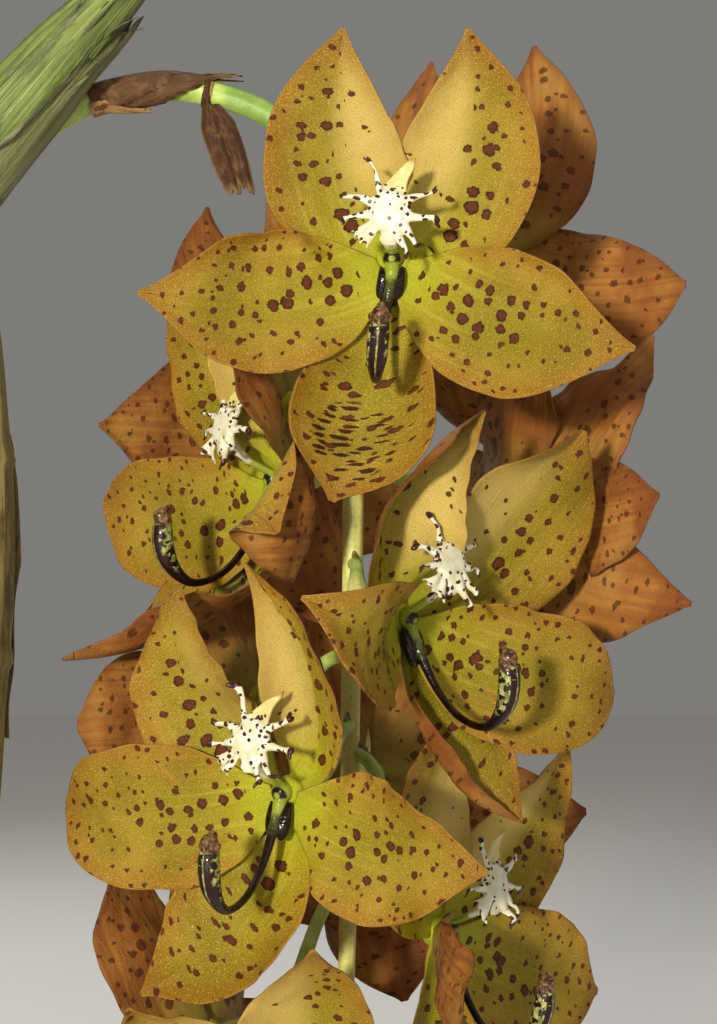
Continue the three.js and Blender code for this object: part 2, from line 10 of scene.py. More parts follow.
import bpy
import numpy as np
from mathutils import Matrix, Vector


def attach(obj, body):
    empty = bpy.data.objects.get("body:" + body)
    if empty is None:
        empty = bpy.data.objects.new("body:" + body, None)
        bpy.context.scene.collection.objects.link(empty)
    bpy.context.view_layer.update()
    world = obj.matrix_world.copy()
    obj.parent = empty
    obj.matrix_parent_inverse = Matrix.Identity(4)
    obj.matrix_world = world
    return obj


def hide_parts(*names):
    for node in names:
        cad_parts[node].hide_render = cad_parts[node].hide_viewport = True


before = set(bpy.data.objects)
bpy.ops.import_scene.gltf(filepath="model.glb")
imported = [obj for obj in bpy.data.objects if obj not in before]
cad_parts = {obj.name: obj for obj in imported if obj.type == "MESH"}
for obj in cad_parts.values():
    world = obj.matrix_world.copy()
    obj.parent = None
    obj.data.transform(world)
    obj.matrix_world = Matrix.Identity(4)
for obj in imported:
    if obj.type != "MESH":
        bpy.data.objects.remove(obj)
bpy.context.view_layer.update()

# %% [markdown]
# ## Camera, floor and light
# The view is close and level with the spray, so a long lens keeps the flowers in proportion.
# One soft key light stands left of the lens, which throws each column's shadow to the right.
# A large fill, a back light and a pale sky keep the shaded side readable from every angle.

# %% Camera, floor and light
VIEW_AT = (0.118, -0.03, 0.25)
VIEW_FROM = (0.118, -0.494, 0.25)
SENSOR, LENS = 36, 100  # millimetres
NEAREST = 0.01
SKY = {"colour": (0.86, 0.84, 0.8, 1), "strength": 0.24}
FLOOR_WIDTH = 6

camera = bpy.data.objects.new("camera", bpy.data.cameras.new("camera"))
bpy.context.scene.collection.objects.link(camera)
camera.location = VIEW_FROM
camera.rotation_euler = (Vector(VIEW_AT) - Vector(VIEW_FROM)).to_track_quat("-Z", "Y").to_euler()
camera.data.sensor_width = SENSOR
camera.data.lens = LENS
camera.data.clip_start = NEAREST
bpy.context.scene.camera = camera


def lamp(name, place, aim, size, watts, tint=(1, 1, 1)):
    """A square soft light at a place, aimed at a point. The larger it is, the softer its shadows."""
    light = bpy.data.lights.new(name, "AREA")
    light.size, light.energy, light.color = size, watts, tint
    shown = bpy.data.objects.new(name, light)
    bpy.context.scene.collection.objects.link(shown)
    shown.location = place
    shown.rotation_euler = (Vector(aim) - Vector(place)).to_track_quat("-Z", "Y").to_euler()


lamp("key", (-0.62, -2.4, 0.5), (0.12, 0, 0.24), 0.18, 68, (1.0, 0.95, 0.83))
lamp("fill", (0.9, -0.9, 0.7), (0.05, 0, 0.25), 0.8, 1.6, (1.0, 0.98, 0.95))
lamp("back", (-0.5, 1.1, 1.0), (0, 0, 0.25), 0.9, 6)
lamp("top", (0.1, 0.2, 1.4), (0.1, 0.2, 0), 1.2, 5)

bpy.ops.mesh.primitive_plane_add(size=FLOOR_WIDTH)
floor = bpy.context.object
floor.name = "floor"

bpy.context.scene.view_settings.view_transform = "Standard"
sky = bpy.data.worlds.new("sky")
bpy.context.scene.world = sky
sky.use_nodes = True
glow = sky.node_tree.nodes["Background"]
glow.inputs["Color"].default_value = SKY["colour"]
glow.inputs["Strength"].default_value = SKY["strength"]

# %% [markdown]
# ## Shader sums written as sums
# A finish is a small web of nodes, which is hard to read as a list of links.
# Here a wire stands for one node's output, and the signs of Python add Math nodes to it.
# Every other node comes from one method, with its settings first and its sockets after them.


# %% Wires
class Wire:
    """One output of a node, which can be added, multiplied or compared."""

    def __init__(self, finish, socket):
        self.finish, self.socket = finish, socket

    def _math(self, operation, *values):
        return self.finish.node("ShaderNodeMath", {"operation": operation}, dict(enumerate(values)))

    def __add__(self, other):
        return self._math("ADD", self, other)

    def __sub__(self, other):
        return self._math("SUBTRACT", self, other)

    def __rsub__(self, other):
        return self._math("SUBTRACT", other, self)

    def __mul__(self, other):
        return self._math("MULTIPLY", self, other)

    def __lt__(self, other):
        return self._math("LESS_THAN", self, other)

    def __abs__(self):
        return self._math("ABSOLUTE", self)

    __radd__ = __add__
    __rmul__ = __mul__


def colour(code):
    """A colour code such as c8a040 as linear red, green, blue and alpha."""
    parts = [int(code[i : i + 2], 16) / 255 for i in (0, 2, 4)]
    return [p / 12.92 if p < 0.04045 else ((p + 0.055) / 1.055) ** 2.4 for p in parts] + [1]


print("ochre in linear light:", np.round(colour("c8a040"), 3))

# %% [markdown]
# A finish gathers the nodes of one material and joins them to a shader at the end.
# Coats go over each other as a painter lays them, and layers of bump are stacked in the same way.
# One pattern, stretched or moved, gives many kinds of marks, so two methods do only that.

# %% Finishes
MM = 0.001


class Finish:
    """One material, and short names for the nodes that it uses."""

    def __init__(self, name):
        self.material = bpy.data.materials.new(name)
        self.material.use_nodes = True
        self.tree = self.material.node_tree
        self.tree.nodes.clear()

    def node(self, kind, settings=None, values=None, out=0):
        """Adds a node with its settings, then fills or links its sockets. Gives one of its outputs."""
        made = self.tree.nodes.new(kind)
        for key, value in (settings or {}).items():
            setattr(made, key, value)
        for key, value in (values or {}).items():
            if isinstance(value, Wire):
                self.tree.links.new(value.socket, made.inputs[key])
            else:
                made.inputs[key].default_value = value
        return Wire(self, made.outputs[out]) if made.outputs else None

    def field(self, name, kind="Fac"):
        """A value that the mesh holds for each of its points."""
        return self.node("ShaderNodeAttribute", {"attribute_name": name}, out=kind)

    def mix(self, a, b, share):
        """Colour a turned to colour b by that share. Each may be a code or a wire."""
        a, b = (colour(tone) if isinstance(tone, str) else tone for tone in (a, b))
        return self.node("ShaderNodeMix", {"data_type": "RGBA"}, {0: share, 6: a, 7: b}, out=2)

    def coats(self, base, *coats):
        """base with coats over it. Each is a colour and its share, or a colour and a value to step.

        After such a value come the step's two numbers and, if it isn't 1, the most that shows.
        """
        for tone, value, *between in coats:
            if between:
                value = self.step(value, *between[:2])
            if len(between) == 3:
                value = value * between[2]
            base = self.mix(base, tone, value)
        return base

    def most(self, a, b):
        """The larger of two masks, for marks that may overlap."""
        return self.node("ShaderNodeMath", {"operation": "MAXIMUM"}, {0: a, 1: b})

    def step(self, value, low, high):
        """0 below low, 1 above high, and smooth between. low may be the larger of the two."""
        values = {"Value": value, "From Min": low, "From Max": high}
        return self.node("ShaderNodeMapRange", {"interpolation_type": "SMOOTHSTEP"}, values)

    def noise(self, place, scale, detail=2.0, out="Fac", rough=0.5):
        """Cloudy numbers with swells about 1 / scale across. More detail adds finer ones."""
        values = {"Vector": place, "Scale": scale, "Detail": detail, "Roughness": rough}
        return self.node("ShaderNodeTexNoise", None, values, out)

    def cells(self, place, scale, out="Distance", scatter=0.9, kind="2D"):
        """Distance to the nearest of scattered points, or a random colour for each of them."""
        values = {"Vector": place, "Scale": scale, "Randomness": scatter}
        return self.node("ShaderNodeTexVoronoi", {"voronoi_dimensions": kind}, values, out)

    def vector(self, operation, *values):
        """Sums on places and colours, which a Math node would turn into one number."""
        return self.node("ShaderNodeVectorMath", {"operation": operation}, dict(enumerate(values)))

    def stretched(self, place, x, y, z):
        """place with each direction scaled. A small number draws a pattern out along its direction."""
        return self.vector("MULTIPLY", place, (x, y, z))

    def moved(self, place, x, y, z):
        """place shifted, which gives another draw of the same pattern."""
        return self.vector("ADD", place, (x, y, z))

    def part(self, vector, axis):
        """One of the three numbers of a place or a colour."""
        return self.node("ShaderNodeSeparateXYZ", None, {0: vector}, out=axis)

    def shake(self, place, scale, reach):
        """place, moved about by noise of that scale, up to half of reach each way."""
        noise = self.noise(place, scale, 2.0, "Color")
        centred = self.vector("SUBTRACT", noise, (0.5, 0.5, 0.5))
        return self.vector("ADD", place, self.vector("MULTIPLY", centred, (reach, reach, reach)))

    def bump(self, *layers):
        """Relief from pairs of a height and its depth in millimetres, the lowest layer first."""
        relief = None
        for height, depth in layers:
            values = {"Height": height, "Distance": depth * MM}
            if relief:
                values["Normal"] = relief
            relief = self.node("ShaderNodeBump", None, values)
        return relief

    def done(self, base, rough, normal=None, **constants):
        """Joins the wires to one shader. Sockets named in constants keep one value all over."""
        values = {"Base Color": base, "Roughness": rough}
        if normal:
            values["Normal"] = normal
        values |= {socket.replace("_", " "): value for socket, value in constants.items()}
        shader = self.node("ShaderNodeBsdfPrincipled", None, values)
        self.node("ShaderNodeOutputMaterial", None, {"Surface": shader})
        return self.material


ground = Finish("pale_ground")
floor.data.materials.append(ground.done(colour("e9e7e2"), 0.8))
print("floor finish:", len(ground.tree.nodes), "nodes")

# %% [markdown]
# ## Curves and uneven numbers
# Nothing on a plant is straight or even, so its lines are smooth curves through a few stops.
# A curve carries two directions across it that don't twist, which rods and sheets are built on.
# Unevenness comes from a few waves with seeded headings: it is smooth, and the same in every run.

# %% Curves and uneven numbers
WAVES = 7


def unit(vectors):
    """The same directions with a length of 1."""
    return vectors / np.maximum(np.linalg.norm(vectors, axis=-1, keepdims=True), 1e-9)


def mix(a, b, share):
    """a turned to b by that share."""
    return a + (b - a) * share


def step(x, low, high):
    """0 below low, 1 above high, and smooth between. low may be the larger of the two."""
    t = np.clip((np.asarray(x, float) - low) / (high - low), 0, 1)
    return t * t * (3 - 2 * t)


def turned(a, b, angle):
    """Unit axis a turned towards unit axis b. angle may be one number or a column of them."""
    angle = np.asarray(angle)[..., None]
    return a * np.cos(angle) + b * np.sin(angle)


def spun(a, b, angle):
    """Two coordinates of points that turn by an angle about the third axis, b's way towards a's."""
    c, s = np.cos(angle), np.sin(angle)
    return a * c + b * s, b * c - a * s


def softened(t, stops, reach, count=7):
    """Values at t read between stops, with each corner rounded over reach on both sides."""
    at, values = np.array(stops).T
    reads = (np.interp(np.clip(t + d, 0, 1), at, values) for d in np.linspace(-reach, reach, count))
    return sum(reads) / count


def even(line, count):
    """The same line with its points spaced evenly."""
    reach = np.concatenate([[0], np.cumsum(np.linalg.norm(np.diff(line, axis=0), axis=1))])
    at = np.linspace(0, reach[-1], count)
    return np.stack([np.interp(at, reach, line[:, k]) for k in range(3)], axis=1)


def curve_through(stops, count):
    """Evenly spaced points on a smooth curve through the stops."""
    p = np.array(stops, float)
    p = np.vstack([2 * p[0] - p[1], p, 2 * p[-1] - p[-2]])
    t = np.linspace(0, 1, 40, endpoint=False)[:, None]
    runs = []
    for a, b, c, d in zip(p, p[1:], p[2:], p[3:]):
        before, here, after = (max(np.linalg.norm(q), 1e-6) ** 0.5 for q in (b - a, c - b, d - c))
        leave = ((b - a) / before - (c - a) / (before + here) + (c - b) / here) * here
        arrive = ((c - b) / here - (d - b) / (here + after) + (d - c) / after) * here
        bend = -3 * b + 3 * c - 2 * leave - arrive
        runs.append(b + leave * t + bend * t**2 + (2 * b - 2 * c + leave + arrive) * t**3)
    return even(np.vstack([*runs, p[-2:-1]]), count)


def rails(line, first=None):
    """Tangent, normal and binormal along a line, carried along it without twist."""
    tangent = unit(np.gradient(line, axis=0))
    normal = np.zeros_like(line)
    start = np.array([0.0, 0, 1]) if first is None else np.array(first, float)
    if abs(unit(start) @ tangent[0]) > 0.95:
        start = np.array([1.0, 0, 0])
    for i, ahead in enumerate(tangent):
        before = start if i == 0 else normal[i - 1]
        normal[i] = unit(before - ahead * (before @ ahead))
    return tangent, normal, np.cross(tangent, normal)


def wobble(points, size, seed):
    """Smooth uneven numbers from about -1 to 1, with swells about size across."""
    rng = np.random.default_rng(seed)
    total = np.zeros(points.shape[:-1])
    for _ in range(WAVES):
        way = unit(rng.normal(size=points.shape[-1]))
        total += np.sin(points @ way * (2 * np.pi / size) * rng.uniform(0.6, 1.5) + rng.uniform(0, 6.3))
    return total / WAVES**0.5


def grid(x, y=0.0, z=0.0):
    """Three grids of coordinates, or single numbers, as one grid of points."""
    return np.stack(np.broadcast_arrays(x, y, z), axis=-1)


def ramp(values, u):
    """One number, or root, middle and tip numbers, as a smooth run over u."""
    if np.isscalar(values):
        return values + 0 * u
    return np.interp(step(u, -0.1, 1.1), step(np.linspace(0, 1, len(values)), -0.1, 1.1), values)


print("a smooth step in quarters:", step(np.linspace(0, 1, 5), 0, 1))

# %% [markdown]
# ## Rods and sheets
# A plant is made of rods and sheets that bend, so two helpers make most of it.
# A rod is a row of rings along a curve, and a sheet is a grid of points with two sides and a rim.
# Both are closed all round, because real leaves and petals have a thickness too.

# %% Rods and sheets
def quads(rows, columns, closed=False):
    """Faces of a grid of points. closed joins the last column to the first."""
    across = np.arange(columns if closed else columns - 1)
    row, column = np.meshgrid(np.arange(rows - 1) * columns, across, indexing="ij")
    after = (column + 1) % columns
    corners = (row + column, row + after, row + columns + after, row + columns + column)
    return np.stack([c.ravel() for c in corners], axis=1)


def rod(line, radii, sides=12, first=None, oval=1.0):
    """Points and faces of a closed rod. radii holds one radius for each point, or one for each side too."""
    line = np.asarray(line, float)
    radii = np.asarray(radii, float)
    _, normal, binormal = rails(line, first)
    around = np.arange(sides) * 2 * np.pi / sides
    radii = radii if radii.ndim == 2 else np.repeat(radii[:, None], sides, axis=1)
    ring = normal[:, None] * np.cos(around)[:, None] + binormal[:, None] * np.sin(around)[:, None] * oval
    points = line[:, None] + ring * radii[..., None]
    ends = np.stack([line[0], line[-1]])
    count, last = len(line) * sides, (len(line) - 1) * sides
    k = np.arange(sides)
    after = (k + 1) % sides
    start_cap = np.stack([np.full(sides, count), after, k], axis=1)
    end_cap = np.stack([np.full(sides, count + 1), last + k, last + after], axis=1)
    everything = np.vstack([points.reshape(-1, 3), ends])
    return everything, [quads(len(line), sides, closed=True), start_cap, end_cap]


def sheet(middle, thickness):
    """Points and faces of a closed sheet on a grid of middle points, front side first."""
    across = np.gradient(middle, axis=1)
    along = np.gradient(middle, axis=0)
    normal = unit(np.cross(across, along))
    half = np.broadcast_to(np.asarray(thickness, float), middle.shape[:2])[..., None] / 2
    rows, columns = middle.shape[:2]
    sides = (middle + normal * half, middle - normal * half)
    points = np.concatenate([side.reshape(-1, 3) for side in sides])
    front = quads(rows, columns)
    index = np.arange(rows * columns).reshape(rows, columns)
    rim = np.concatenate([index[0, :-1], index[:-1, -1], index[-1, :0:-1], index[:0:-1, 0]])
    after = np.roll(rim, -1)
    back = rows * columns
    edge = np.stack([rim, rim + back, after + back, after], axis=1)
    return points, [front, front[:, ::-1] + back, edge]


def on_rings(values, sides):
    """One value for each ring of a rod, given to all its sides and to the middles of its two ends."""
    return np.concatenate([np.repeat(values, sides), values[[0, -1]]])


def with_ends(points):
    """A rod's grid of points as a list, with the first and last once more for the middles of its ends."""
    points = points.reshape(-1, points.shape[-1])
    return np.vstack([points, points[[0, -1]]])


print("a small rod has", len(rod(np.eye(3), [1, 1, 1], 6)[0]), "points")

# %% [markdown]
# ## From parts to pieces
# One piece of the model often has many parts, such as a stem with its roots.
# A shape gathers their points, with named values at each point that the finish can read later.
# All sizes are in millimetres up to here, and the last step turns them into metres.

# %% Shapes and pieces
def worked(mesh, *modifiers):
    """A copy of the mesh with modifiers applied. Each is a kind and its settings."""
    blank = bpy.data.objects.new("blank", mesh)
    bpy.context.scene.collection.objects.link(blank)
    for kind, settings in modifiers:
        modifier = blank.modifiers.new(kind.lower(), kind)
        for key, value in settings.items():
            setattr(modifier, key, value)
    depsgraph = bpy.context.evaluated_depsgraph_get()
    made = bpy.data.meshes.new_from_object(blank.evaluated_get(depsgraph))
    bpy.data.objects.remove(blank)
    return made


class Shape:
    """Points, faces and named values for each point, gathered from several parts."""

    def __init__(self):
        self.points, self.faces, self.fields, self.count = [], [], [], 0

    def add(self, points, faces, **fields):
        """Adds a part. Its faces count from its own first point, and its fields have a row for each."""
        points = np.asarray(points, float).reshape(-1, 3)
        for group in faces if isinstance(faces, list) else [faces]:
            self.faces.append(np.asarray(group) + self.count)
        self.points.append(points)
        self.fields.append({k: np.asarray(v, float).reshape(len(points), -1) for k, v in fields.items()})
        self.count += len(points)

    def add_sheet(self, middle, thickness, **fields):
        """Adds a closed sheet. Its fields lie on the grid of its middle, and both sides get them."""
        points, faces = sheet(middle, thickness)
        count = len(points) // 2
        fields = {k: np.tile(np.asarray(v, float).reshape(count, -1), (2, 1)) for k, v in fields.items()}
        self.add(points, faces, back=np.repeat([0.0, 1.0], count), **fields)

    def add_rod(self, line, radii, sides, skin=None, oval=1.0, **fields):
        """Adds a closed rod. Its fields hold one value for each point of its line, or one for all."""
        points, faces = rod(line, radii, sides, oval=oval)
        rings = np.ones(len(line))
        fields = {k: on_rings(np.asarray(v, float) * rings, sides) for k, v in fields.items()}
        self.add(points, faces, skin=points if skin is None else skin, **fields)

    def mesh(self, name, share=1.0):
        """A mesh of all the parts, thinned out to that share of its triangles."""
        mesh = bpy.data.meshes.new(name)
        faces = [face for group in self.faces for face in group.tolist()]
        mesh.from_pydata((np.vstack(self.points) * MM).tolist(), [], faces)
        widths = {k: v.shape[1] for part in self.fields for k, v in part.items()}
        for key, width in widths.items():
            rows = [
                part.get(key, np.zeros((len(points), width)))
                for part, points in zip(self.fields, self.points)
            ]
            kind, data = ("FLOAT", "value") if width == 1 else ("FLOAT_VECTOR", "vector")
            mesh.attributes.new(key, kind, "POINT").data.foreach_set(data, np.vstack(rows).ravel())
        mesh.polygons.foreach_set("use_smooth", [True] * len(mesh.polygons))
        # Thinning takes triangles away where the shape hardly bends, and keeps the named values.
        return worked(mesh, ("DECIMATE", {"ratio": share})) if share < 1 else mesh


def place_piece(name, mesh, material, slot, *nodes):
    """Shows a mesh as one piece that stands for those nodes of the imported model."""
    piece = bpy.data.objects.new(name, mesh)
    bpy.context.scene.collection.objects.link(piece)
    mesh.materials.append(material)
    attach(piece, "root")
    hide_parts(*nodes)
    print(f"{name}: {sum(len(p.vertices) - 2 for p in mesh.polygons)} triangles")
    return piece


# %% [markdown]
# ## The clay pot
# A plant pot is thrown or pressed in red clay and fired without glaze.
# A lathe profile turned round the axis gives its wall, and the band at its rim is part of the profile.
# The drain holes are cut with four drills, as the potter cuts them before firing.

# %% Pot shape
POT = {"height": 120, "foot": 46, "neck": 61, "rim": 69, "band": 26, "wall": 6, "floor": 8}
DRAIN = {"radius": 5, "circle": 27, "count": 4}
POT_SIDES = 144
POT_CURVE = 1.4
POT_STEP = 6  # longest face up the wall, in millimetres


def rounded(profile, reach, steps=4):
    """A profile with each inner corner turned into a small curve."""
    points = [profile[0]]
    for before, here, after in zip(profile, profile[1:], profile[2:]):
        before, here, after = (np.array(p, float) for p in (before, here, after))
        start = here + unit(before - here) * min(reach, np.linalg.norm(before - here) / 2.2)
        end = here + unit(after - here) * min(reach, np.linalg.norm(after - here) / 2.2)
        for t in np.linspace(0, 1, steps + 1):
            points.append(start * (1 - t) ** 2 + 2 * here * t * (1 - t) + end * t**2)
    return np.array([*points, profile[-1]], float)


def pot_mesh():
    """The wall turned from its profile, with the shallow dents and turning marks of pressed clay."""
    top, foot, neck, rim, band, wall, base = POT.values()
    under, inside = top - band, rim - wall - 1
    corners = [
        (0.2, 0), (foot, 0), (neck, under), (rim - 1, under), (rim, under + 2), (rim, top - 2),
        (rim - 2, top), (inside + 1, top), (inside, top - 2), (inside, under + 6),
        (neck - wall, under - 4), (foot - wall, base), (0.2, base),
    ]
    profile = rounded(corners, POT_CURVE)
    steps = np.maximum(1, (np.linalg.norm(np.diff(profile, axis=0), axis=1) / POT_STEP).astype(int))
    fine = [mix(a, b, i / n) for a, b, n in zip(profile, profile[1:], steps) for i in range(n)]
    profile = np.array([*fine, profile[-1]])
    around = np.arange(POT_SIDES) * 2 * np.pi / POT_SIDES
    radius = profile[:, :1] * np.ones(POT_SIDES)
    points = grid(radius * np.cos(around), radius * np.sin(around), profile[:, 1:])
    outer = step(radius, 30, 50)[..., None]
    dent = wobble(points, 60, 3) * 0.18 + wobble(points * [0.2, 0.2, 1.6], 6, 4) * 0.05
    way = unit(points * [1, 1, 0])
    points = points - way * outer * np.abs(dent)[..., None]
    first = np.arange(POT_SIDES)
    last = first[::-1] + (len(profile) - 1) * POT_SIDES
    shape = Shape()
    shape.add(points, [quads(len(profile), POT_SIDES, closed=True)[:, ::-1], first[None], last[None]])
    return shape.mesh("clay_pot")


def drilled(mesh):
    """The mesh with the drain holes cut through its floor."""
    drills = Shape()
    for k in range(DRAIN["count"]):
        turn = (k + 0.5) / DRAIN["count"] * 2 * math.pi
        x, y = DRAIN["circle"] * math.cos(turn), DRAIN["circle"] * math.sin(turn)
        drills.add(*rod([[x, y, -10], [x, y, 5], [x, y, 20]], [DRAIN["radius"]] * 3, 24))
    drill = bpy.data.objects.new("drills", drills.mesh("drills"))
    bpy.context.scene.collection.objects.link(drill)
    made = worked(mesh, ("BOOLEAN", {"operation": "DIFFERENCE", "object": drill, "solver": "EXACT"}))
    bpy.data.objects.remove(drill)
    return made


pot_blank = drilled(pot_mesh())
print("pot:", len(pot_blank.polygons), "faces,", DRAIN["count"], "drain holes")

# %% [markdown]
# Fired clay is matt and thirsty. It dries paler in patches, and salts from the water leave a white bloom.
# Its tone is mixed from slow and fine noise, and the bloom gathers near the rim and the foot.
# Fine grit is tone and bump alone, since it is too small to change the outline.

# %% Clay finish
clay = Finish("fired_clay")
where = clay.node("ShaderNodeTexCoord", out="Object")
tone = clay.noise(where, 22.0, 5.0)
grit = clay.noise(where, 1400.0, 3.0)
ring_marks = clay.noise(clay.stretched(where, 6.0, 6.0, 320.0), 1.0, 3.0)
height = clay.part(where, "Z")
salt_zone = clay.step(height, 0.03, 0.0) + clay.step(height, 0.085, 0.118) * 0.8
salt = clay.step(clay.noise(where, 55.0, 6.0, rough=0.65), 0.5, 0.66) * salt_zone
base = clay.coats(
    "b0623c",
    ("c98058", tone, 0.3, 0.7),
    ("8e4a2c", clay.noise(where, 70.0, 4.0), 0.56, 0.75, 0.5),
    ("e3d2bf", salt * 0.65),
    ("d7926a", grit, 0.62, 0.8, 0.35),
)
CLAY = clay.done(base, 0.86 + 0.08 * tone, clay.bump((ring_marks, 0.25), (grit, 0.18)))
pot = place_piece("clay_pot", pot_blank, CLAY, "clay", "pot")
for face in pot.data.polygons:
    face.use_smooth = True

# %% [markdown]
# ## Swollen stems
# Each pseudobulb is a fat stem with faint rings where its leaves were joined.
# It is swept along its own curve as a rod with many sides, so that its skin can be pushed in and out.
# Lengthways wrinkles are deep on the old ones, which have shrunk, and faint on the two that are in leaf.

# %% Stem data
BULBS = {
    # path is the middle line from foot to tip, girth the radius at shares of it, and roots are headings
    "flowering": {
        "path": [(-20, 2, 82), (-17, 0, 150), (-1, -3, 215), (27, -6, 276.5), (65.6, -8, 326.4),
                 (82.6, -8, 344.4)],
        "girth": [(0, 7), (0.1, 9), (0.25, 13.5), (0.45, 15.5), (0.66, 11.7), (0.8, 8.1), (0.93, 6.8),
                  (1, 2.5)],
        "roots": [200, 262, 318], "old": 0.0,
    },
    "leafy": {
        "path": [(0, 29, 82), (-3, 34, 150), (-7, 38, 230), (-12, 40, 335)],
        "girth": [(0, 7), (0.1, 9), (0.3, 14), (0.5, 15), (0.75, 11), (0.93, 7.5), (1, 4)],
        "roots": [70, 128], "old": 0.0,
    },
    "old_tall": {
        "path": [(28, 13, 82), (36, 15, 150), (43, 17, 225), (48, 19, 296)],
        "girth": [(0, 6.5), (0.12, 8), (0.3, 12), (0.55, 13), (0.8, 10.5), (0.95, 6), (1, 2.5)],
        "roots": [100, 300], "old": 1.0,
    },
    "old_short": {
        "path": [(-32, -25, 82), (-37, -30, 140), (-44, -36, 190), (-50, -42, 228)],
        "girth": [(0, 6.5), (0.12, 8), (0.35, 12), (0.6, 12.5), (0.85, 8), (0.96, 4.5), (1, 2.5)],
        "roots": [150, 310], "old": 1.0,
    },
}
JOINTS = 6
BARK_TOP = 102
BULB_ROWS, BULB_SIDES = 150, 56
FOOT_SHARE = 0.12  # where the stem leaves the bark, as a share of its length
print("tips of the stems:", {name: bulb["path"][-1] for name, bulb in BULBS.items()})

# %% [markdown]
# The skin of a stem is pushed in and out by three things that are added up at each of its points:
# a narrow ring at every joint, long folds that are deeper when it is old, and a slow unevenness.
# The ends close over a short stretch, so that the stem meets its last leaf without a flat cut.


# %% Stem shape
def girth_at(bulb, t):
    """Radius of a swollen stem at t, from 0 at its foot to 1 at its tip."""
    return softened(t, bulb["girth"], 0.045)


def bulb_line(bulb, count):
    """The stem's middle line as that many evenly spaced points."""
    return curve_through(bulb["path"], count)


def bulb_foot(bulb):
    return bulb_line(bulb, 101)[round(FOOT_SHARE * 100)]


def stem_skin(bulb):
    """Middle line and radii of a stem: rings at its joints, long folds and uneven swells."""
    line = bulb_line(bulb, BULB_ROWS)
    t = np.linspace(0, 1, BULB_ROWS)
    around = np.arange(BULB_SIDES) * 2 * np.pi / BULB_SIDES
    grid_t, grid_a = np.meshgrid(t, around, indexing="ij")
    radius = girth_at(bulb, t)[:, None] * np.ones(BULB_SIDES)
    old = bulb["old"]
    near = np.abs(grid_t * JOINTS - np.round(grid_t * JOINTS)) / JOINTS
    ring = np.exp(-((near / 0.006) ** 2)) * 0.75
    folds = np.cos(11 * grid_a + 2.2 * np.sin(5 * grid_t)) + 0.6 * np.cos(19 * grid_a + 3 * grid_t + 1)
    folds = folds * (0.12 + 0.36 * old) * np.sin(np.pi * np.clip(grid_t * 1.02, 0, 1)) ** 0.5
    pattern = grid(np.cos(grid_a) * 9, np.sin(grid_a) * 9, grid_t * 60)
    uneven = wobble(pattern, 14, 5 + int(10 * old)) * (0.12 + 0.2 * old)
    radius = radius + (ring + folds + uneven) * step(radius, 2, 6)
    close = np.minimum(step(1 - t, 0, 0.012), step(t, -0.01, 0.004))[:, None]
    return line, radius * np.maximum(close, 0.06), grid_t, grid_a


print("radius at mid height:", {name: round(girth_at(bulb, 0.5), 1) for name, bulb in BULBS.items()})

# %% [markdown]
# Roots, sheaths and threads dress the stem. Roots leave its foot and dive into the bark.
# A sheath is the papery foot of a fallen leaf: it wraps part of the way round, and its top edge is torn.


# %% Roots, sheaths and threads
def thread_skin(count, sides):
    """Where the points of a root or thread lie in the pattern of its finish."""
    turn = np.arange(sides) * 6.283 / sides
    return with_ends(grid(np.cos(turn) * 2, np.sin(turn) * 2, np.linspace(0, 1, count)[:, None] * count))


ROOT = {"points": 26, "sides": 10}


def roots_of(shape, bulb, seed):
    """Cord-like roots that leave the foot, run over the bark and dive into it."""
    rng = np.random.default_rng(seed)
    foot = bulb_foot(bulb)
    headings = list(bulb["roots"]) + [h + rng.uniform(-28, 28) for h in bulb["roots"] for _ in range(2)]
    for k, heading in enumerate(headings):
        way = np.array([math.cos(math.radians(heading)), math.sin(math.radians(heading)), 0])
        aside = np.array([-way[1], way[0], 0])
        main = k < len(bulb["roots"])
        reach = 22 if main else rng.uniform(13, 19)
        sway = rng.uniform(-2.5, 2.5)
        rise = 5 if main else rng.uniform(2, 4)
        ground = foot * [1, 1, 0] + [0, 0, BARK_TOP]
        stops = [
            foot,
            ground + way * reach * 0.55 + aside * sway + [0, 0, rise],
            ground + way * reach * 0.85 + aside * sway * 0.4 + [0, 0, 0.5],
            ground + way * reach - [0, 0, 10],
        ]
        line = curve_through(stops, ROOT["points"])
        girth = (1.8 if main else rng.uniform(0.9, 1.3)) * (1 + 0.08 * wobble(line, 9, seed + k))
        shape.add_rod(line, girth, ROOT["sides"], thread_skin(ROOT["points"], ROOT["sides"]), root=1.0)


SHEATH_THICKNESS = 0.2
SHEATHS = {
    # foot and top along the stem, first and last angle round it
    "flowering": [(0.5, 0.83, -85, 75), (0.74, 0.975, -70, 95), (0.2, 0.5, 60, 250), (0.1, 0.36, -120, 40)],
    "leafy": [(0.12, 0.4, 150, 320), (0.3, 0.62, -60, 110), (0.55, 0.84, 90, 270)],
    "old_tall": [(0.14, 0.42, -30, 150), (0.36, 0.66, 170, 330), (0.6, 0.9, 20, 190)],
    "old_short": [(0.18, 0.48, 160, 330), (0.45, 0.8, -20, 150)],
}


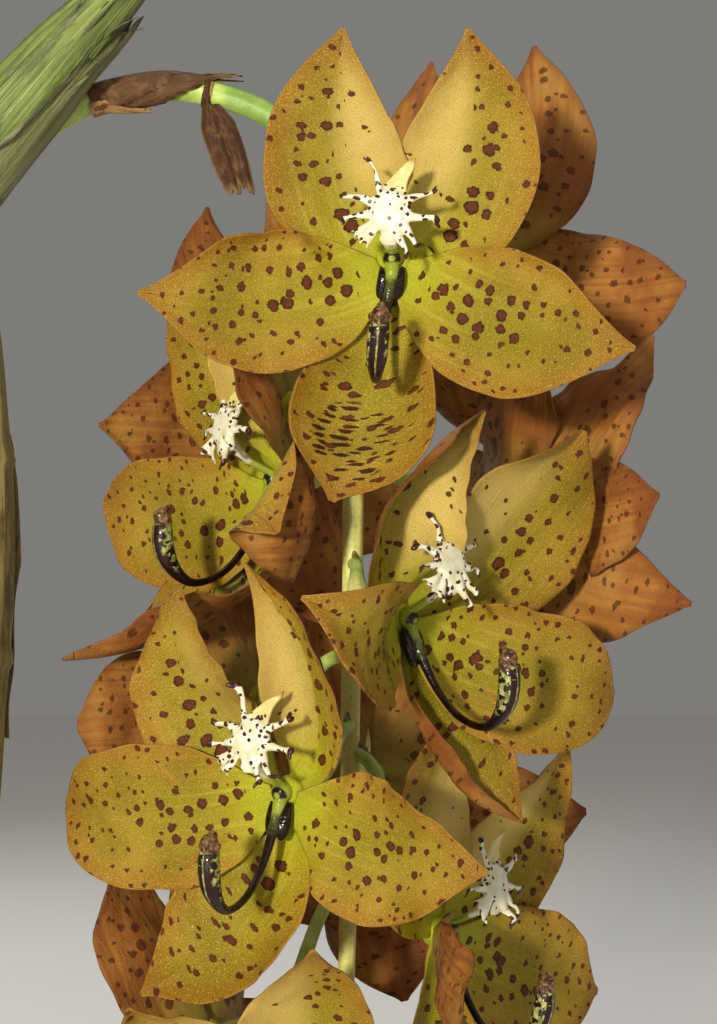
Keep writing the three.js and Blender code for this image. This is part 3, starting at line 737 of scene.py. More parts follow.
def sheath_middle(bulb, low, high, start, end, seed):
    """A papery sheath that hugs the stem. Its top edge is torn and stands off a little."""
    line = bulb_line(bulb, 400)
    last = len(line) - 1
    _, normal, binormal = rails(line)
    u, v = np.meshgrid(np.linspace(0, 1, 28), np.linspace(0, 1, 40), indexing="ij")
    rim = grid(v * 3)
    torn = 0.07 * wobble(rim, 1.3, seed) + 0.05 * wobble(rim, 0.35, seed + 1)
    at = low + (high - low) * u * (1 - np.abs(torn) - 0.35 * (2 * v - 1) ** 4)
    side_wave = 4 * wobble(grid(u * 3), 1.1, seed + 2)
    angle = np.radians(mix(start, end, v) + side_wave)
    ripple = 0.22 * wobble(grid(v * 6, u * 2), 1.2, seed + 3)
    radius = girth_at(bulb, at) + 0.75 + ripple + 0.9 * step(u, 0.7, 1) ** 2 + 0.5 * np.abs(2 * v - 1) ** 6
    index = np.clip(at * last, 0, last).astype(int)
    part = (at * last - index)[..., None]
    after = np.minimum(index + 1, last)
    centre, a, b = (mix(table[index], table[after], part) for table in (line, normal, binormal))
    return centre + turned(a, b, angle) * radius[..., None], u, v, at, angle


FIBRES = {"count": 16, "from": 0.93, "points": 12, "sides": 8}


def fibres_of(shape, bulb, seed):
    """Stiff threads left at the top of the stem, where the last leaf has torn away."""
    rng = np.random.default_rng(seed)
    line = bulb_line(bulb, 101)
    tangent, normal, binormal = rails(line)
    root = round(FIBRES["from"] * 100)
    onward = tangent[root + 3]
    for _ in range(FIBRES["count"]):
        angle = rng.uniform(0, 6.3)
        out = normal[root] * math.cos(angle) + binormal[root] * math.sin(angle)
        start = line[root] + out * girth_at(bulb, FIBRES["from"]) * 0.85
        reach = rng.uniform(5, 13)
        stops = [start, start + onward * reach * 0.6 + out * rng.uniform(-0.5, 0.7),
                 start + onward * reach + out * rng.uniform(-1.5, 2.5)]
        girth = np.linspace(rng.uniform(0.25, 0.6), 0.08, FIBRES["points"])
        skin = thread_skin(FIBRES["points"], FIBRES["sides"])
        shape.add_rod(curve_through(stops, FIBRES["points"]), girth, FIBRES["sides"], skin, sheath=1.0)


print("sheaths:", {name: len(rows) for name, rows in SHEATHS.items()})

# %% [markdown]
# A young stem is green with yellow streaks between its veins, and grey-brown where a sheath has rubbed.
# An old one is straw brown with dark seams. One finish does both, and a value named old slides between them.
# Roots carry a value of their own, because their skin is a matt off-white sponge.

# %% Stem skin finish
bulb_skin = Finish("pseudobulb_skin")
where = bulb_skin.field("skin", "Vector")
old = bulb_skin.field("old")
root = bulb_skin.field("root")
sheath, torn = bulb_skin.field("sheath"), bulb_skin.field("torn")
streak = bulb_skin.noise(bulb_skin.stretched(where, 1.0, 1.0, 0.06), 1.1, 4.0, rough=0.6)
vein = bulb_skin.noise(bulb_skin.stretched(where, 1.0, 1.0, 0.02), 3.2, 2.0)
patch = bulb_skin.noise(bulb_skin.stretched(where, 1.0, 1.0, 0.35), 0.32, 6.0, rough=0.66)
speck = bulb_skin.noise(where, 2.2, 5.0, rough=0.7)
green = bulb_skin.coats(
    "4f6026",
    ("86954a", streak, 0.34, 0.66),
    ("b9c074", vein, 0.56, 0.7, 0.6),
    ("4a5228", patch, 0.46, 0.56, 0.75),
    ("8f8a6c", patch, 0.53, 0.62, 0.7),
)
straw = bulb_skin.coats("8a7a45", ("b5a468", streak, 0.3, 0.7), ("4d3a22", patch, 0.5, 0.66, 0.75))
paper_green = bulb_skin.coats(
    "5f6238",
    ("8a8c5c", streak, 0.36, 0.64),
    ("a9a384", patch, 0.5, 0.66, 0.6),
    ("2f2a1c", torn + 0.3 * speck, 0.9, 1.12, 0.85),
)
paper_brown = bulb_skin.coats("7d6440", ("b09a6c", streak, 0.32, 0.68))
base = bulb_skin.coats(
    bulb_skin.mix(green, straw, old),
    (bulb_skin.coats("a49a84", ("d8d2c2", patch, 0.35, 0.6)), root),
    (bulb_skin.mix(paper_green, paper_brown, old), sheath),
    ("32291b", speck, 0.66, 0.78, 0.6),
)
relief = bulb_skin.bump((vein, 0.35), (speck, 0.16))
BULB_SKIN = bulb_skin.done(base, 0.42 + 0.25 * patch + 0.2 * root, relief, Specular_IOR_Level=0.4)


def bulb_pattern(angle, t, seed):
    """Where points of a stem or sheath lie in the pattern of its finish."""
    return grid(np.cos(angle) * 5 + seed * 20, np.sin(angle) * 5, t * 150)


for seed, (name, bulb) in enumerate(BULBS.items()):
    shape = Shape()
    line, radius, grid_t, grid_a = stem_skin(bulb)
    shape.add_rod(line, radius, BULB_SIDES, with_ends(bulb_pattern(grid_a, grid_t, seed)), old=bulb["old"])
    roots_of(shape, bulb, 40 + seed)
    for k, numbers in enumerate(SHEATHS[name]):
        middle, u, v, at, angle = sheath_middle(bulb, *numbers, seed * 50 + k * 9)
        torn = np.maximum(u**6, np.abs(2 * v - 1) ** 8)
        fields = {"old": bulb["old"] + 0 * u, "sheath": 1 + 0 * u, "torn": torn}
        shape.add_sheet(middle, SHEATH_THICKNESS, skin=bulb_pattern(angle, at, seed), **fields)
    if name == "flowering":
        fibres_of(shape, bulb, 77)
    slot = "old_bulb" if bulb["old"] else "bulb"
    place_piece(f"stem_{name}", shape.mesh(f"stem_{name}"), BULB_SKIN, slot, f"pseudobulb_{name}")

# %% [markdown]
# ## Bark in the pot
# Orchids of this kind grow in loose chips of bark, which sit at all angles and leave dark gaps.
# Each chip starts as a box with rounded, broken sides, and a seeded draw sets its size and tilt.
# A low bed under them fills the pot, so that no gap shows the empty inside.

# %% Bark
BARK = {"chips": 170, "reach": 55}
CHIP = {"rows": 7, "columns": 12}
BED = {"rings": 14, "sides": 72, "radius": 61.4, "level": 98, "bottom": 90}
GOLDEN_ANGLE = 2.39996  # radians, which spreads points evenly over a disc


def chip(rng):
    """A broken slab: a grid wrapped round a box, rounded and chipped by noise."""
    up = np.linspace(-np.pi / 2, np.pi / 2, CHIP["rows"])[:, None]
    turn = np.arange(CHIP["columns"]) * 2 * np.pi / CHIP["columns"]
    block = grid(np.cos(up) * np.cos(turn), np.cos(up) * np.sin(turn), np.sin(up))
    block = np.sign(block) * np.abs(block) ** 0.45
    block = block * (1 + 0.13 * wobble(block, 1.1, int(rng.integers(1e6)))[..., None])
    return block * [rng.uniform(5, 9.5), rng.uniform(3, 5.5), rng.uniform(1.6, 3.6)]


def tumble(points, rng, most):
    """The points pitched and rolled by up to most, then turned to any side."""
    pitch, roll, yaw = rng.uniform(-most, most), rng.uniform(-most, most), rng.uniform(0, 6.3)
    for angle, (a, b) in ((pitch, (1, 2)), (roll, (0, 2)), (yaw, (0, 1))):
        points[..., b], points[..., a] = spun(points[..., b], points[..., a], angle)
    return points


bark = Shape()
rng = np.random.default_rng(11)
rings = np.linspace(0.5, BED["radius"], BED["rings"])[:, None]
around = np.arange(BED["sides"]) * 2 * np.pi / BED["sides"]
bed = grid(rings * np.cos(around), rings * np.sin(around), float(BED["level"]))
bed[..., 2] += wobble(bed, 15, 8) * 1.2
low = bed[-1] * [0.9, 0.9, 0] + [0, 0, BED["bottom"]]
bed = np.concatenate([bed, low[None]])
bed_faces = quads(BED["rings"] + 1, BED["sides"], closed=True)
bark.add(bed, bed_faces, skin=bed * 0.5, tone=np.full(bed[..., 0].size, 0.2))
feet = [bulb_foot(bulb) for bulb in BULBS.values()]
chip_faces = quads(CHIP["rows"], CHIP["columns"], closed=True)
for k in range(BARK["chips"]):
    radius = BARK["reach"] * math.sqrt((k + 0.5) / BARK["chips"])
    x, y = radius * math.cos(k * GOLDEN_ANGLE), radius * math.sin(k * GOLDEN_ANGLE)
    block = tumble(chip(rng), rng, 0.45)
    lift = rng.uniform(98.5, 103.5)
    if min(math.hypot(x - f[0], y - f[1]) for f in feet) < 15:  # chips lie lower at a stem
        lift = rng.uniform(97, 100)
    skin = block * 0.8 + rng.uniform(0, 90, 3)
    tone = np.full(block[..., 0].size, rng.uniform(0, 1))
    bark.add(block + [x, y, lift], chip_faces, skin=skin, tone=tone)

print("bark:", BARK["chips"], "chips,", bark.count, "points")

# %% [markdown]
# Bark is dark in its cracks and pale on its broken fibres. Each chip has one tone of its own, drawn by the
# same seed as its shape, because a bed of equal chips looks like plastic.

# %% Bark finish
wood = Finish("bark_chips")
where = wood.field("skin", "Vector")
tone = wood.field("tone")
grain = wood.noise(wood.stretched(where, 0.35, 1.6, 2.4), 0.7, 6.0, rough=0.65)
crumb = wood.noise(where, 1.6, 6.0, rough=0.7)
base = wood.coats(
    wood.mix("3a2416", "7d5433", tone),
    ("9c7450", grain, 0.5, 0.7, 0.65),
    ("1f130c", crumb, 0.5, 0.36, 0.8),
)
BARK_FINISH = wood.done(base, 0.9, wood.bump((grain, 0.6), (crumb, 0.4)))
place_piece("bark_bed", bark.mesh("bark_bed"), BARK_FINISH, "bark", "bark_medium")

# %% [markdown]
# ## Pleated leaves
# A leaf clasps the stem, rises and arches over under its own weight, and folds along its main veins.
# Its middle line is bent slope by slope, and a sheet is laid on that line with a soft zigzag for the pleats.
# Fine veins between the folds are in the finish, as they hardly change the outline.

# %% Leaves
LEAF = {"width": 46, "thickness": 0.8, "pleat": 2.2, "rows": 84, "columns": 37}
LEAF_ROWS = [
    # stem, share of its height, heading, slope at the foot and at the tip, length
    ("leafy", 0.74, 205, 58, -38, 240),
    ("leafy", 0.8, 15, 76, -18, 265),
    ("leafy", 0.86, 228, 70, -5, 270),
    ("leafy", 0.91, 40, 78, 12, 255),
    ("leafy", 0.955, 165, 70, 10, 245),
    ("leafy", 0.99, 80, 84, 40, 215),
    ("flowering", 0.72, 195, 84, 8, 235),
]
LEAVES = [dict(zip(("bulb", "at", "heading", "rise", "fall", "length"), row)) for row in LEAF_ROWS]


def leaf_half(u):
    """Half the leaf's width at u, from its clasp to its tip."""
    full = 0.16 + 0.84 * np.maximum(np.sin(np.pi * u**0.85), 0) ** 0.9
    taper = np.minimum(1, (1 - u) * 4) ** 0.42
    return np.maximum(LEAF["width"] / 2 * full * np.where(u > 0.5, taper, 1), 0.35)


def leaf_middle(leaf, seed):
    """The middle of a leaf's sheet, where each of its points lies on it, and its half width there."""
    bulb = BULBS[leaf["bulb"]]
    heading = math.radians(leaf["heading"])
    out = np.array([math.cos(heading), math.sin(heading), 0])
    side, top = np.array([-out[1], out[0], 0]), np.array([0, 0, 1])
    line = bulb_line(bulb, 1001)
    start = line[round(leaf["at"] * 1000)] + out * (girth_at(bulb, leaf["at"]) - 0.6)
    u, v = np.linspace(0, 1, LEAF["rows"]), np.linspace(-1, 1, LEAF["columns"])
    slope = np.radians(mix(leaf["rise"], leaf["fall"], u**1.4))
    middle = start + np.cumsum(turned(out, top, slope), axis=0) * leaf["length"] / LEAF["rows"]
    up = turned(top, -out, slope)
    half = leaf_half(u)[:, None]
    grid_u, grid_v = np.meshgrid(u, v, indexing="ij")
    zigzag = np.arcsin(0.94 * np.cos((grid_v + 1) * 3 * np.pi)) / np.pi
    pleat = zigzag * LEAF["pleat"] * np.minimum(grid_u * 5, 1) * half / (LEAF["width"] / 2)
    clasp = (1 - np.minimum(grid_u * 7, 1)) * 2.2
    sway = np.sin(grid_u * 9 + seed) * np.abs(grid_v) ** 2 * np.sign(grid_v) * np.sin(np.pi * grid_u)
    lift = pleat + 0.22 * half * grid_v**2 - clasp * grid_v**2 + sway
    points = middle[:, None] + side * (half * grid_v)[..., None] + up[:, None] * lift[..., None]
    return points, grid_u, grid_v, half * np.ones_like(grid_v)


print("leaves:", [leaf["length"] for leaf in LEAVES], "mm long")

# %% [markdown]
# The blade is a fresh green with pale veins, and its back is duller. The tip dries first, to yellow and then
# brown, so those two tones follow the distance from the foot. The seams of the pleats get a pale painted
# highlight.

# %% Leaf finish
leaf_skin = Finish("pleated_leaf")
u, v = leaf_skin.field("along"), leaf_skin.field("across")
flat = leaf_skin.field("flat", "Vector")
back = leaf_skin.field("back")
comb = leaf_skin.node("ShaderNodeMath", {"operation": "SINE"}, {0: v * 150.0}) * 0.5 + 0.5
fold = leaf_skin.node("ShaderNodeMath", {"operation": "COSINE"}, {0: (v + 1.0) * (3 * math.pi)})
mottle = leaf_skin.noise(leaf_skin.stretched(flat, 1.0, 0.18, 1.0), 0.25, 5.0)
cloud = leaf_skin.noise(flat, 0.035, 4.0)
fine = leaf_skin.noise(flat, 1.8, 4.0)
base = leaf_skin.coats(
    "2f5220",
    ("587f30", mottle, 0.3, 0.7),
    ("86a648", comb, 0.6, 1.0, 0.4),
    # pale painted highlight along the seams of the pleats
    ("9cb565", abs(fold), 0.93, 1.0, 0.65),
    ("7e9a45", back * 0.55),
    ("b3ab4d", u + cloud * 0.2, 0.93, 1.08, 0.8),
    ("6b4a27", u + fine * 0.02, 0.975, 0.998),
    ("9fae55", u, 0.1, 0.0, 0.6),
)
relief = leaf_skin.bump((comb, 0.14), (fine, 0.06))
LEAF_SKIN = leaf_skin.done(base, 0.4 + 0.2 * mottle + 0.12 * back, relief, Specular_IOR_Level=0.45)

for k, leaf in enumerate(LEAVES):
    middle, grid_u, grid_v, half = leaf_middle(leaf, k)
    thin = LEAF["thickness"] * (1 - 0.5 * np.abs(grid_v) ** 4)
    flat = grid(half * grid_v + 60 * k, grid_u * leaf["length"])
    name = f"pleated_leaf_{k + 1}"
    shape = Shape()
    shape.add_sheet(middle, thin, along=grid_u, across=grid_v, flat=flat)
    place_piece(name, shape.mesh(name), LEAF_SKIN, "leaf", f"leaf_{k + 1}")

# %% [markdown]
# ## Where each flower sits and looks
# The spray hangs, so its flowers turn all round it and nod a little.
# Each one has its own axes: out of its face, up to its lip, and to its right.
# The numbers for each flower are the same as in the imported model, so every piece lands in its place.

# %% Flower data
TEPALS = {
    # turn is degrees from the lip at root and tip, lean is degrees forward along it, and depth is its root
    "upper_left": {"turn": (-50, 10), "lean": (10, 12), "cup": 0.3, "depth": -0.3, "outline": "sepal"},
    "upper_right": {"turn": (60, -10), "lean": (10, 12), "cup": 0.3, "depth": -1.3, "outline": "sepal"},
    "left": {"turn": (-122, -84), "lean": (14, 2), "cup": 0.2, "depth": 0.7, "outline": "petal"},
    "right": {"turn": (130, 98), "lean": (14, 2), "cup": 0.2, "depth": 0.7, "outline": "petal"},
    "lower": {"turn": (184, 194), "lean": (6, -20), "cup": 0.5, "depth": -0.7, "outline": "lower"},
}
BLOOMS = [
    {"at": (123.6, -28, 290.8), "facing": -3, "nod": 0, "column": (13, 6),
     "upper_left": {"wave": 0.5, "turn": (-50, 13), "long": 0.96},
     "upper_right": {"wave": 0.5, "turn": (60, -8)},
     "left": {"turn": (-121, -82), "wave": 1.1, "right_edge": (20, 60, 0), "roll_from": 0.65,
              "outline": "pointed", "dents": [(0.6, 0.35, 8, -1.9), (0.3, 0.62, 5, 1.4),
                                              (0.75, -0.5, 6, 0.8), (0.2, 0.8, 3, -1.0)]},
     "right": {"turn": (128, 99), "lean": (14, 4), "wave": 1.1, "left_edge": (20, 40, 0), "roll_from": 0.65,
               "outline": "pointed",
               "dents": [(0.5, -0.1, 9, -1.6), (0.28, -0.6, 5, 1.2), (0.7, 0.5, 6, 0.8)]},
     "lower": {"dashes": 1, "turn": (182, 203), "lean": (-2, 6, -20), "cup": 0.8, "outline": "spoon",
               "wide": 1.12, "depth": -1.2, "long": 0.95, "dents": [(0.68, 0, 8, -1.4)]}},
    {"at": (137, 22, 297), "facing": 150, "nod": 4,
     "right": {"lean": (20, 50), "long": 0.92}, "lower": {"turn": (180, 176), "lean": (8, 56)}},
    {"at": (105, 27, 269), "facing": -140, "nod": 4,
     "upper_left": {"turn": (-44, 20)}, "left": {"turn": (-134, -112)},
     "right": {"turn": (112, 84), "long": 0.9, "outline": "pointed"}},
    {"at": (105, -6, 255), "facing": -58, "nod": 4, "column": (-3, 0),
     "upper_left": {"turn": (-50, -5), "lean": (10, 24)},
     "upper_right": {"turn": (20, -15), "lean": (14, 24), "wide": 0.85, "fold": (30, 58, 58)},
     "left": {"turn": (-128, -72), "lean": (16, 26), "outline": "blunt", "right_edge": (0, 0, 20)},
     "right": {"turn": (104, 92), "lean": (-12, 20, 90, 125), "cup": 0.3, "wide": 1.05, "long": 0.9,
               "bends": [((0.6, -0.9), (0.86, 0.85), 1.2, -162)]},
     "lower": {"turn": (188, 236), "lean": (0, 56, 88), "twist": (0, -46, -76), "cup": 0.7,
               "outline": "tapered", "long": 1.3, "wide": 1.4}},
    {"at": (144, 14, 249), "facing": 122, "nod": 4,
     "upper_left": {"turn": (-50, -24), "wave": 1.6, "lean": (10, 30)},
     "upper_right": {"turn": (10, -20), "lean": (4, -10)},
     "left": {"turn": (-90, -78), "lean": (8, 14), "long": 0.83, "wide": 0.86}, "right": {"turn": (100, 70)},
     "lower": {"turn": (232, 262), "lean": (10, 32), "outline": "tapered"}},
    {"at": (124.8, -25, 232), "facing": 46, "nod": 4, "column": (-4, -4),
     "upper_left": {"turn": (-50, 55), "fold": (10, 42, 55), "long": 1.04},
     "upper_right": {"turn": (70, 14), "lean": (14, 34), "wide": 1.3, "long": 1.1, "outline": "petal",
                     # glow sets how strong the painted highlight is on the inner half of this sepal
                     "glow": 0.9},
     "left": {"turn": (-114, -60), "lean": (32, 40, -46), "outline": "pointed", "cup": 0.4, "wide": 0.9},
     "right": {"turn": (122, 100), "lean": (18, 44), "outline": "blunt", "curl": 50,
               "left_edge": (30, 40, 0)},
     "lower": {"turn": (164, 142), "lean": (14, 28), "right_edge": (30, 100, 130), "roll_from": 0.42,
               "wide": 0.8, "long": 0.94}},
    {"at": (99, 19, 216), "facing": -128, "nod": 6,
     "upper_right": {"turn": (34, -34), "lean": (14, 36)}, "left": {"turn": (-140, -134), "lean": (14, 30)},
     "right": {"turn": (106, 84), "curl": -50, "long": 0.86, "outline": "blunt"}},
    {"at": (106.5, -30, 204), "facing": -30, "nod": 6, "column": (-5, 2),
     "upper_left": {"turn": (-66, -4), "curl": 60, "wave": 1.6, "wide": 0.94, "outline": "tapered",
                    # glow sets how strong the painted highlight is on the inner half of this sepal
                    "glow": 0.35},
     "upper_right": {"turn": (44, -36), "lean": (6, 8), "wide": 0.72, "cup": 0.5, "fold": (10, 30, 30)},
     "left": {"turn": (-108, -86), "lean": (12, 14), "curl": 45, "outline": "blunt"},
     "right": {"turn": (120, 94), "lean": (14, -4), "outline": "pointed", "wave": 1.6, "long": 0.93,
               "dents": [(0.25, -0.7, 4, 1.6), (0.18, -0.5, 3, -1.2), (0.5, 0.2, 8, -1.2)]},
     "lower": {"turn": (186, 240), "lean": (8, 6), "left_edge": (0, 30, 0), "outline": "pointed",
               "long": 1.1}},
    {"at": (132, -4, 178), "facing": 50, "nod": 4, "drop": 30,
     "upper_right": {"turn": (70, 20)},
     "left": {"turn": (-112, -98), "lean": (36, 52), "fold": 14, "wave": 1.4}},
    {"at": (120, 45, 200), "facing": 176, "nod": 6, "right": {"turn": (112, 78), "lean": (14, 40)}},
    {"at": (91, 11, 157), "facing": -122, "nod": 6, "right": {"turn": (124, 104), "long": 0.9}},
    {"at": (104, -12, 147), "facing": 0, "nod": 12, "drop": 38,
     "upper_left": {"turn": (-60, -24), "lean": (10, 50)},
     "upper_right": {"turn": (30, -4), "lean": (10, 44)},
     "left": {"turn": (-112, -76), "lean": (14, 40)}, "right": {"turn": (140, 122)}},
]
HUB = {"radius": 3, "back": -2.4, "front": 1.3}
heights = [bloom["at"][2] for bloom in BLOOMS]
print("flowers:", len(BLOOMS), "from", min(heights), "to", max(heights), "mm high")

# %% [markdown]
# A flower is modelled as if it faced forward, and its axes then put each point where it belongs.
# This keeps the numbers of a petal or a column the same for all twelve, whichever way they look.


# %% Flower axes
class Axes:
    """A flower's middle and its three directions."""

    def __init__(self, bloom):
        turn, nod = math.radians(bloom["facing"]), math.radians(-bloom["nod"])
        level = math.cos(nod)
        self.out = np.array([math.sin(turn) * level, -math.cos(turn) * level, math.sin(nod)])
        self.side = np.array([math.cos(turn), math.sin(turn), 0])
        self.lip = -np.cross(self.side, self.out)
        self.middle = np.array(bloom["at"], float)

    def place(self, local):
        """Points given as across, towards the lip and forward, put where the flower is."""
        across, up, forward = np.split(np.asarray(local, float), 3, axis=-1)
        return self.middle + across * self.side + up * self.lip + forward * self.out


AXES = [Axes(bloom) for bloom in BLOOMS]
print("the first flower looks along", np.round(AXES[0].out, 3).tolist())

# %% [markdown]
# ## The hanging stem
# The stem leaves the fat one sideways, arches over and hangs straight down with the weight of its flowers.
# Every flower has its own stalk, which swells near the flower into a ribbed green ovary.
# One mesh holds them all, as on the plant, and a small scale sits under the root of each stalk.

# %% Hanging stem
STEM_PATH = [
    (64, -1, 317), (72, 0, 321.5), (84, 0, 323.5), (95, 0, 322), (105, 0, 317), (113, 0, 305),
    (117, 0, 285), (117, 0, 250), (116.5, 1, 210), (116, 2, 175), (115, 3, 150), (113, 5, 130),
]
STEM_RADIUS = (2.3, 1.3)
STALK = {"root": 1.2, "ovary": 2.0, "drop": 9}
BUDS = [
    {"at": (121, 14, 127), "facing": 140, "length": 18},
    {"at": (109, 14, 117), "facing": -165, "length": 16},
]
STEM_POINTS = 400
HANGS_FROM = 140  # the point of the stem where its arch ends
stem_line = curve_through(STEM_PATH, STEM_POINTS)


def stem_at(height):
    """Point of the hanging stem at a height."""
    hanging = stem_line[HANGS_FROM:]
    return hanging[np.argmin(np.abs(hanging[:, 2] - height))]


def bud_axes(bud):
    """A bud's foot and the way it points."""
    turn = math.radians(bud["facing"])
    return np.array(bud["at"], float), unit(np.array([math.sin(turn), -math.cos(turn), -0.45]))


def stalk_line(end, out, drop, count=40):
    """A stalk that leaves the stem sideways, drop above the flower, and enters it from behind."""
    start = stem_at(end[2] + drop)
    away = unit((end - start) * [1, 1, 0])
    a, b = start + away * 10 - [0, 0, 1], end - out * 12 + [0, 0, 1.5]
    t = np.linspace(0, 1, count)[:, None]
    return even(start * (1 - t) ** 3 + 3 * a * t * (1 - t) ** 2 + 3 * b * t**2 * (1 - t) + end * t**3, count)


def ribbed(radius, sides, ribs, depth):
    """Radii round a rod with long ribs. radius and depth hold one number for each of its rings."""
    around = np.arange(sides) * 2 * np.pi / sides
    return radius[:, None] + depth[:, None] * np.cos(ribs * around)


def add_ribbed(shape, line, radius, depth, ovary, ring, ribs=6, sides=18):
    """Adds a stalk with long ribs. ovary and ring tell along it where its skin is yellow or brown."""
    skin = with_ends(grid(np.arange(sides) * ribs / sides, np.arange(len(line))[:, None] * 0.5))
    shape.add_rod(line, ribbed(radius, sides, ribs, depth), sides, skin, ovary=ovary, ring=ring)


spray = Shape()
t = np.linspace(0, 1, STEM_POINTS)
main_radius = mix(*STEM_RADIUS, t)
ring = -step(t, 0.126, 0.15) * (1 - step(t, 0.24, 0.4))
for node in (0.04, 0.126, 0.215):
    main_radius = main_radius + 0.3 * np.exp(-(((t - node) / 0.004) ** 2))
    ring = ring + 1.2 * np.exp(-(((t - node) / 0.0035) ** 2))
add_ribbed(spray, stem_line, main_radius, 0.05 + 0 * t, 0.8 * step(t, 0.28, 0.4), ring, ribs=9, sides=27)
ends = [
    (axes.place([0, 0, HUB["back"] - 0.1]), axes.out, bloom.get("drop", STALK["drop"]))
    for axes, bloom in zip(AXES, BLOOMS)
]
ends += [(*bud_axes(bud), STALK["drop"]) for bud in BUDS]
for end, out, drop in ends:
    line = stalk_line(end, out, drop)
    t = np.linspace(0, 1, len(line))
    swell = mix(STALK["root"], STALK["ovary"], step(t, 0.25, 0.62)) - 0.25 * step(t, 0.85, 1.0)
    ribs = 0.16 * step(t, 0.3, 0.55) * (1 - step(t, 0.93, 1))
    add_ribbed(spray, line, swell, ribs, step(t, 0.25, 0.6), 0 * t)
    t = np.linspace(0, 1, 14)
    scale_line = line[0] + (line[5] - line[0]) * t[:, None] * 1.1 + [0, 0, 1.4]
    spray.add_rod(scale_line, 1.5 * (1 - t) ** 0.7 + 0.05, 10, oval=0.45, ovary=-1.0)

print("hanging stem:", len(ends), "stalks,", spray.count, "points")

# %% [markdown]
# The arch is a fresh green, and the stalks turn creamy yellow towards their flowers.
# Each mesh point knows how far its stalk has become an ovary and how near a brown joint is.

# %% Stem finish
green_skin = Finish("stem_green")
here = green_skin.node("ShaderNodeTexCoord", out="Object")
ovary, ring = green_skin.field("ovary"), green_skin.field("ring")
blotch = green_skin.noise(here, 260.0, 4.0)
fine = green_skin.noise(here, 1500.0, 3.0)
base = green_skin.coats(
    "9ab84e",
    ("c6dc74", blotch, 0.35, 0.65),
    ("e6da82", ovary, 0.0, 1.0, 0.9),
    ("5f8a35", ring, -0.1, -1.0, 0.6),
    ("8a5f38", ring + 0.4 * blotch, 0.5, 0.8),
    ("6f5a2e", ovary, 0.0, -0.6),
    ("9db34e", fine, 0.5, 0.65, 0.4),
)
STEM_GREEN = green_skin.done(
    base, 0.36 + 0.15 * blotch, green_skin.bump((fine, 0.05)),
    Subsurface_Weight=0.12, Subsurface_Radius=(0.002, 0.003, 0.001), Subsurface_Scale=0.5,
)
place_piece("spray_stem", spray.mesh("spray_stem"), STEM_GREEN, "stem", "flower_stem")

# %% [markdown]
# ## Dry bracts on the arch
# Each joint of the arch once had a green bract. It has dried to brown paper and torn loose at its end.
# A sheet wraps part of the way round the stem and then runs on free, where its edges curl.
# Deep lengthways creases and a ragged end come from the same uneven numbers as the wrinkles of the bulbs.

# %% Dry bracts
DRY_BRACTS = [
    {"from": 0.036, "hug": 0.012, "free": 7, "tilt": -14, "top": -78, "wrap": (130, 80), "ragged": 0.5,
     "half": 1.3, "facing": 0.3, "pale": 1.0},
    {"from": 0.04, "hug": 0.078, "free": 5, "tilt": 6, "top": (0, 30, 95), "wrap": (320, 200, 75),
     "ragged": 1.0, "half": 1.2, "facing": 0.3, "pale": 0.15},
    {"from": 0.124, "hug": 0.003, "free": 17.5, "tilt": -58, "top": -20, "wrap": (250, 200), "ragged": 0.6,
     "half": 3.0, "facing": 1.0, "pale": 0.0},
]
BRACT_THICKNESS = 0.32


def bract_middle(bract, seed):
    """A sheet that hugs the stem, then leaves it at a tilt and turns its width to face the front."""
    side = np.array([0, -1.0, 0])
    tangent = unit(np.gradient(stem_line, axis=0))
    total = np.linalg.norm(np.diff(stem_line, axis=0), axis=1).sum()
    hug = bract["hug"] * total
    u, v = np.meshgrid(np.linspace(0, 1, 60), np.linspace(-1, 1, 30), indexing="ij")
    rim = grid(v[0] * 3)
    end = 1 + bract["ragged"] * (0.08 * wobble(rim, 1.6, seed) + 0.05 * wobble(rim, 0.5, seed + 5))[None]
    done = u * (hug + bract["free"]) * end
    at = bract["from"] + np.minimum(done / hug, 1) * bract["hug"]
    index = np.clip(at * (len(stem_line) - 1), 0, len(stem_line) - 1).astype(int)
    along = tangent[index]
    up = -np.cross(along, side)
    pattern = grid(v * 3, u * 6)
    crumple = 0.2 * wobble(pattern * [1, 0.4, 1], 1.7, seed + 1) + 0.03 * wobble(pattern, 0.6, seed + 2)
    radius = 2.72 + 0.25 * u + 0.7 * crumple * step(u, 0, 0.3)
    top = np.radians(ramp(bract["top"], u))
    turn = top + v * np.radians(ramp(bract["wrap"], u)) / 2
    hugging = stem_line[index] + turned(side, up, turn) * radius[..., None]
    onward = turned(along, up, np.radians(bract["tilt"]))
    beyond = np.maximum(done - hug, 0)
    centre = stem_line[index] + turned(side, up, top) * radius[..., None]
    wide = np.cross(onward, side) * bract["half"]
    taper = (0.45 + 0.55 * step(beyond, 1, 6)) * (1 - 0.2 * step(beyond, bract["free"] * 0.7, bract["free"]))
    loose = centre + wide * (v * taper)[..., None] + side * (crumple * 0.7 - 0.8 * v**2)[..., None]
    share = bract["facing"] * step(beyond, 0, 2.2)
    return mix(hugging, loose, share[..., None]) + onward * beyond[..., None], u, v


print("bracts:", [bract["free"] for bract in DRY_BRACTS], "mm beyond where they clasp the stem")

# %% [markdown]
# Dry bract is brown paper with long fibres, darker where it was wet and paler along its edges.
# The one by the bulb is pale as straw, so each has a value that says how pale it is.

# %% Dry paper finish
paper = Finish("dry_paper")
where = paper.field("flat", "Vector")
edge, pale = paper.field("edge"), paper.field("pale")
fibre = paper.noise(paper.stretched(where, 3.0, 0.25, 1.0), 1.6, 6.0, rough=0.65)
stain = paper.noise(where, 0.5, 5.0)
base = paper.coats(
    "2a150b",
    ("5e3b20", fibre, 0.3, 0.7),
    ("7c5a38", stain, 0.5, 0.68, 0.55),
    ("9a7a50", edge, 0.88, 1.0, 0.5),
    ("ab8552", pale * 0.7),
)
DRY_PAPER = paper.done(base, 0.72, paper.bump((fibre, 0.12)), Specular_IOR_Level=0.3)

